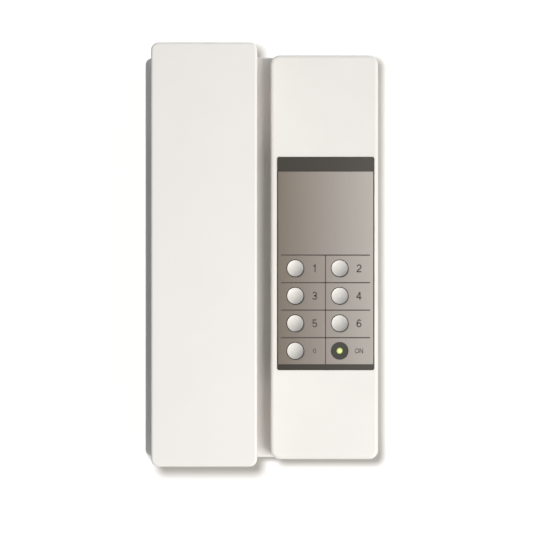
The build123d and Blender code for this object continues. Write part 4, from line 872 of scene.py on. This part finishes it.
# Stage: a pale wall behind the station, seen only from the front, which keeps the station's soft shadow.
# Light passes through it from behind, so that the station's back is lit in other views.
def make_wall_finish():
    """White wall for the camera and for reflections, clear to every other ray and from behind."""
    finish = bpy.data.materials.new("pale_wall")
    finish.use_nodes = True
    tree = finish.node_tree
    tree.nodes.clear()
    paint = add_node(tree, "ShaderNodeBsdfDiffuse", Color=(0.45, 0.45, 0.45, 1))
    bright = add_node(tree, "ShaderNodeEmission", Color=(1, 0.88, 0.7, 1), Strength=0.19)
    lit = add_node(tree, "ShaderNodeAddShader")
    link(tree, paint.outputs["BSDF"], lit, 0)
    link(tree, bright.outputs["Emission"], lit, 1)
    ray = add_node(tree, "ShaderNodeLightPath")
    side = add_node(tree, "ShaderNodeNewGeometry")
    looked_at = work_out(tree, "MAXIMUM", ray.outputs["Is Camera Ray"], ray.outputs["Is Glossy Ray"])
    from_front = work_out(tree, "SUBTRACT", 1.0, side.outputs["Backfacing"])
    clear = add_node(tree, "ShaderNodeBsdfTransparent")
    choice = add_node(tree, "ShaderNodeMixShader")
    link(tree, work_out(tree, "MULTIPLY", looked_at, from_front), choice, "Fac")
    link(tree, clear.outputs["BSDF"], choice, 1)
    link(tree, lit.outputs["Shader"], choice, 2)
    link(tree, choice.outputs["Shader"], add_node(tree, "ShaderNodeOutputMaterial"), "Surface")
    return finish


wall_reach, wall_gap = 0.4, 1.0 * mm
wall_corners = [(x * wall_reach, wall_gap, z * wall_reach) for x, z in ((-1, -1), (1, -1), (1, 1), (-1, 1))]
wall_mesh = bpy.data.meshes.new("wall")
wall_mesh.from_pydata(wall_corners, [], [(0, 1, 2, 3)])
wall_mesh.materials.append(make_wall_finish())
wall = bpy.data.objects.new("wall", wall_mesh)
bpy.context.collection.objects.link(wall)


# Light: soft lamps at the front right, the left, above and behind, a sun from the upper left for the keys and
# one for their panel, and a lamp beside the camera that gives the wall its shadow and doesn't fade with
# distance. The room is brighter at its right and foot.
def add_lamp(name, kind, energy, colour, place, aim, **settings):
    """Lamp at a place, turned to face another."""
    lamp = bpy.data.lights.new(name, kind)
    lamp.energy = energy
    lamp.color = colour
    for label, value in settings.items():
        setattr(lamp, label, value)
    holder = bpy.data.objects.new(name, lamp)
    bpy.context.collection.objects.link(holder)
    holder.location = place
    holder.rotation_euler = (Vector(aim) - Vector(place)).to_track_quat("-Z", "Y").to_euler()
    return holder


def gather(name, pieces, state="INCLUDE"):
    """Collection that lets light reach these pieces alone, or all but these."""
    group = bpy.data.collections.new(name)
    for piece in pieces:
        group.objects.link(piece)
    for entry in group.collection_objects:
        entry.light_linking.link_state = state
    return group


key_pieces = [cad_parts[f"key_{number}"] for number in key_numbers]
flat_pieces = [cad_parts[name] for name in ("panel_bezel", "panel_plate", "lamp_collar")]
frame_middle, station_middle = (0.0, 0.0, 0.0), (0.0, -0.03, 0.0)
plain_white, warm_white = (1.0, 1.0, 1.0), (1.0, 0.985, 0.965)


def light_station(name, energy, place, size, skips):
    """Round soft lamp, turned to the station, that lights all but a collection's pieces."""
    lamp = add_lamp(name, "AREA", energy, warm_white, place, station_middle, shape="DISK", size=size)
    lamp.light_linking.receiver_collection = skips


def light_panel(name, energy, place, reached, shading):
    """Slightly soft sun that lights some pieces alone, and that only some pieces shade."""
    lamp = add_lamp(name, "SUN", energy, warm_white, place, frame_middle, angle=math.radians(12))
    lamp.light_linking.receiver_collection = gather(f"{name}_reaches", reached)
    lamp.light_linking.blocker_collection = gather(f"{name}_shadows", shading)


front_skips = gather("front_lamps_skip", [wall] + key_pieces + flat_pieces, "EXCLUDE")
light_station("front_lamp", energy=11.2, place=(0.5, -1.22, -0.3), size=0.5, skips=front_skips)
light_station("left_lamp", energy=0.5, place=(-1.0, -1.0, 0.05), size=0.5, skips=front_skips)
light_panel("key_sun", energy=5.9, place=(-1.75, -1.0, 1.75), reached=key_pieces, shading=flat_pieces)
light_panel(
    "plate_sun", energy=2.95, place=(-1.0, -1.4, 1.0), reached=flat_pieces, shading=key_pieces + flat_pieces
)
top_skips = gather("top_lamp_skips", [wall], "EXCLUDE")
light_station("top_lamp", energy=3.15, place=(0.1, 0.1, 1.2), size=0.4, skips=top_skips)
back_skips = gather("back_lamp_skips", [wall], "EXCLUDE")
light_station("back_lamp", energy=5.3, place=(0.3, 0.8, 0.5), size=0.5, skips=back_skips)
wall_lamp = add_lamp(
    "wall_lamp", "POINT", 62.0, plain_white, (-0.055, -0.94, 0.047), frame_middle, shadow_soft_size=0.052
)
wall_lamp.light_linking.receiver_collection = gather("wall_lamp_reaches", [wall])
wall_lamp.data.use_nodes = True
lamp_tree = wall_lamp.data.node_tree
falloff = add_node(lamp_tree, "ShaderNodeLightFalloff", Strength=1.0)
link(lamp_tree, falloff.outputs["Constant"], lamp_tree.nodes["Emission"], "Strength")


def light_room(bright_side, dim, bright):
    """World that is brightest towards one side, and plain white where the camera sees it."""
    world = bpy.data.worlds.new("room")
    bpy.context.scene.world = world
    world.use_nodes = True
    room = world.node_tree
    room.nodes.clear()
    facing = add_node(room, "ShaderNodeVectorMath", operation="DOT_PRODUCT")
    link(room, add_node(room, "ShaderNodeTexCoord").outputs["Generated"], facing, 0)
    facing.inputs[1].default_value = bright_side
    brighter = rescale(room, facing.outputs["Value"], From_Min=-0.1, From_Max=1.0)
    soft_light = add_node(room, "ShaderNodeBackground", Strength=1.0)
    link(room, blend(room, brighter, dim, bright), soft_light, "Color")
    white_view = add_node(room, "ShaderNodeBackground", Color=(1, 1, 1, 1), Strength=1.0)
    ray = add_node(room, "ShaderNodeLightPath")
    looked_at = work_out(room, "MAXIMUM", ray.outputs["Is Camera Ray"], ray.outputs["Is Transmission Ray"])
    choice = add_node(room, "ShaderNodeMixShader")
    link(room, looked_at, choice, "Fac")
    link(room, soft_light.outputs["Background"], choice, 1)
    link(room, white_view.outputs["Background"], choice, 2)
    link(room, choice.outputs["Shader"], add_node(room, "ShaderNodeOutputWorld"), "Surface")


light_room(bright_side=(0.85, -0.1, -0.52), dim=(0.272, 0.298, 0.318, 1), bright=(1.06, 1.055, 1.045, 1))


# Camera: straight in front, about as high as the station's middle, at the distance that shows the handset's
# front a little larger than the base behind it.
image_side = 535
column_scale = 0.518 * mm
camera_x, camera_z, camera_distance = 3.275 * mm, -5.33 * mm, 1.142
column_front = -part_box("panel_plate")[0].y
camera = bpy.data.cameras.new("camera")
camera.sensor_width = 36.0
camera.lens = camera.sensor_width * (camera_distance - column_front) / (image_side * column_scale)
camera_holder = bpy.data.objects.new("camera", camera)
bpy.context.collection.objects.link(camera_holder)
camera_holder.location = (camera_x, -camera_distance, camera_z)
camera_holder.rotation_euler = (math.pi / 2, 0.0, 0.0)
bpy.context.scene.camera = camera_holder
bpy.context.scene.view_settings.view_transform = "Standard"
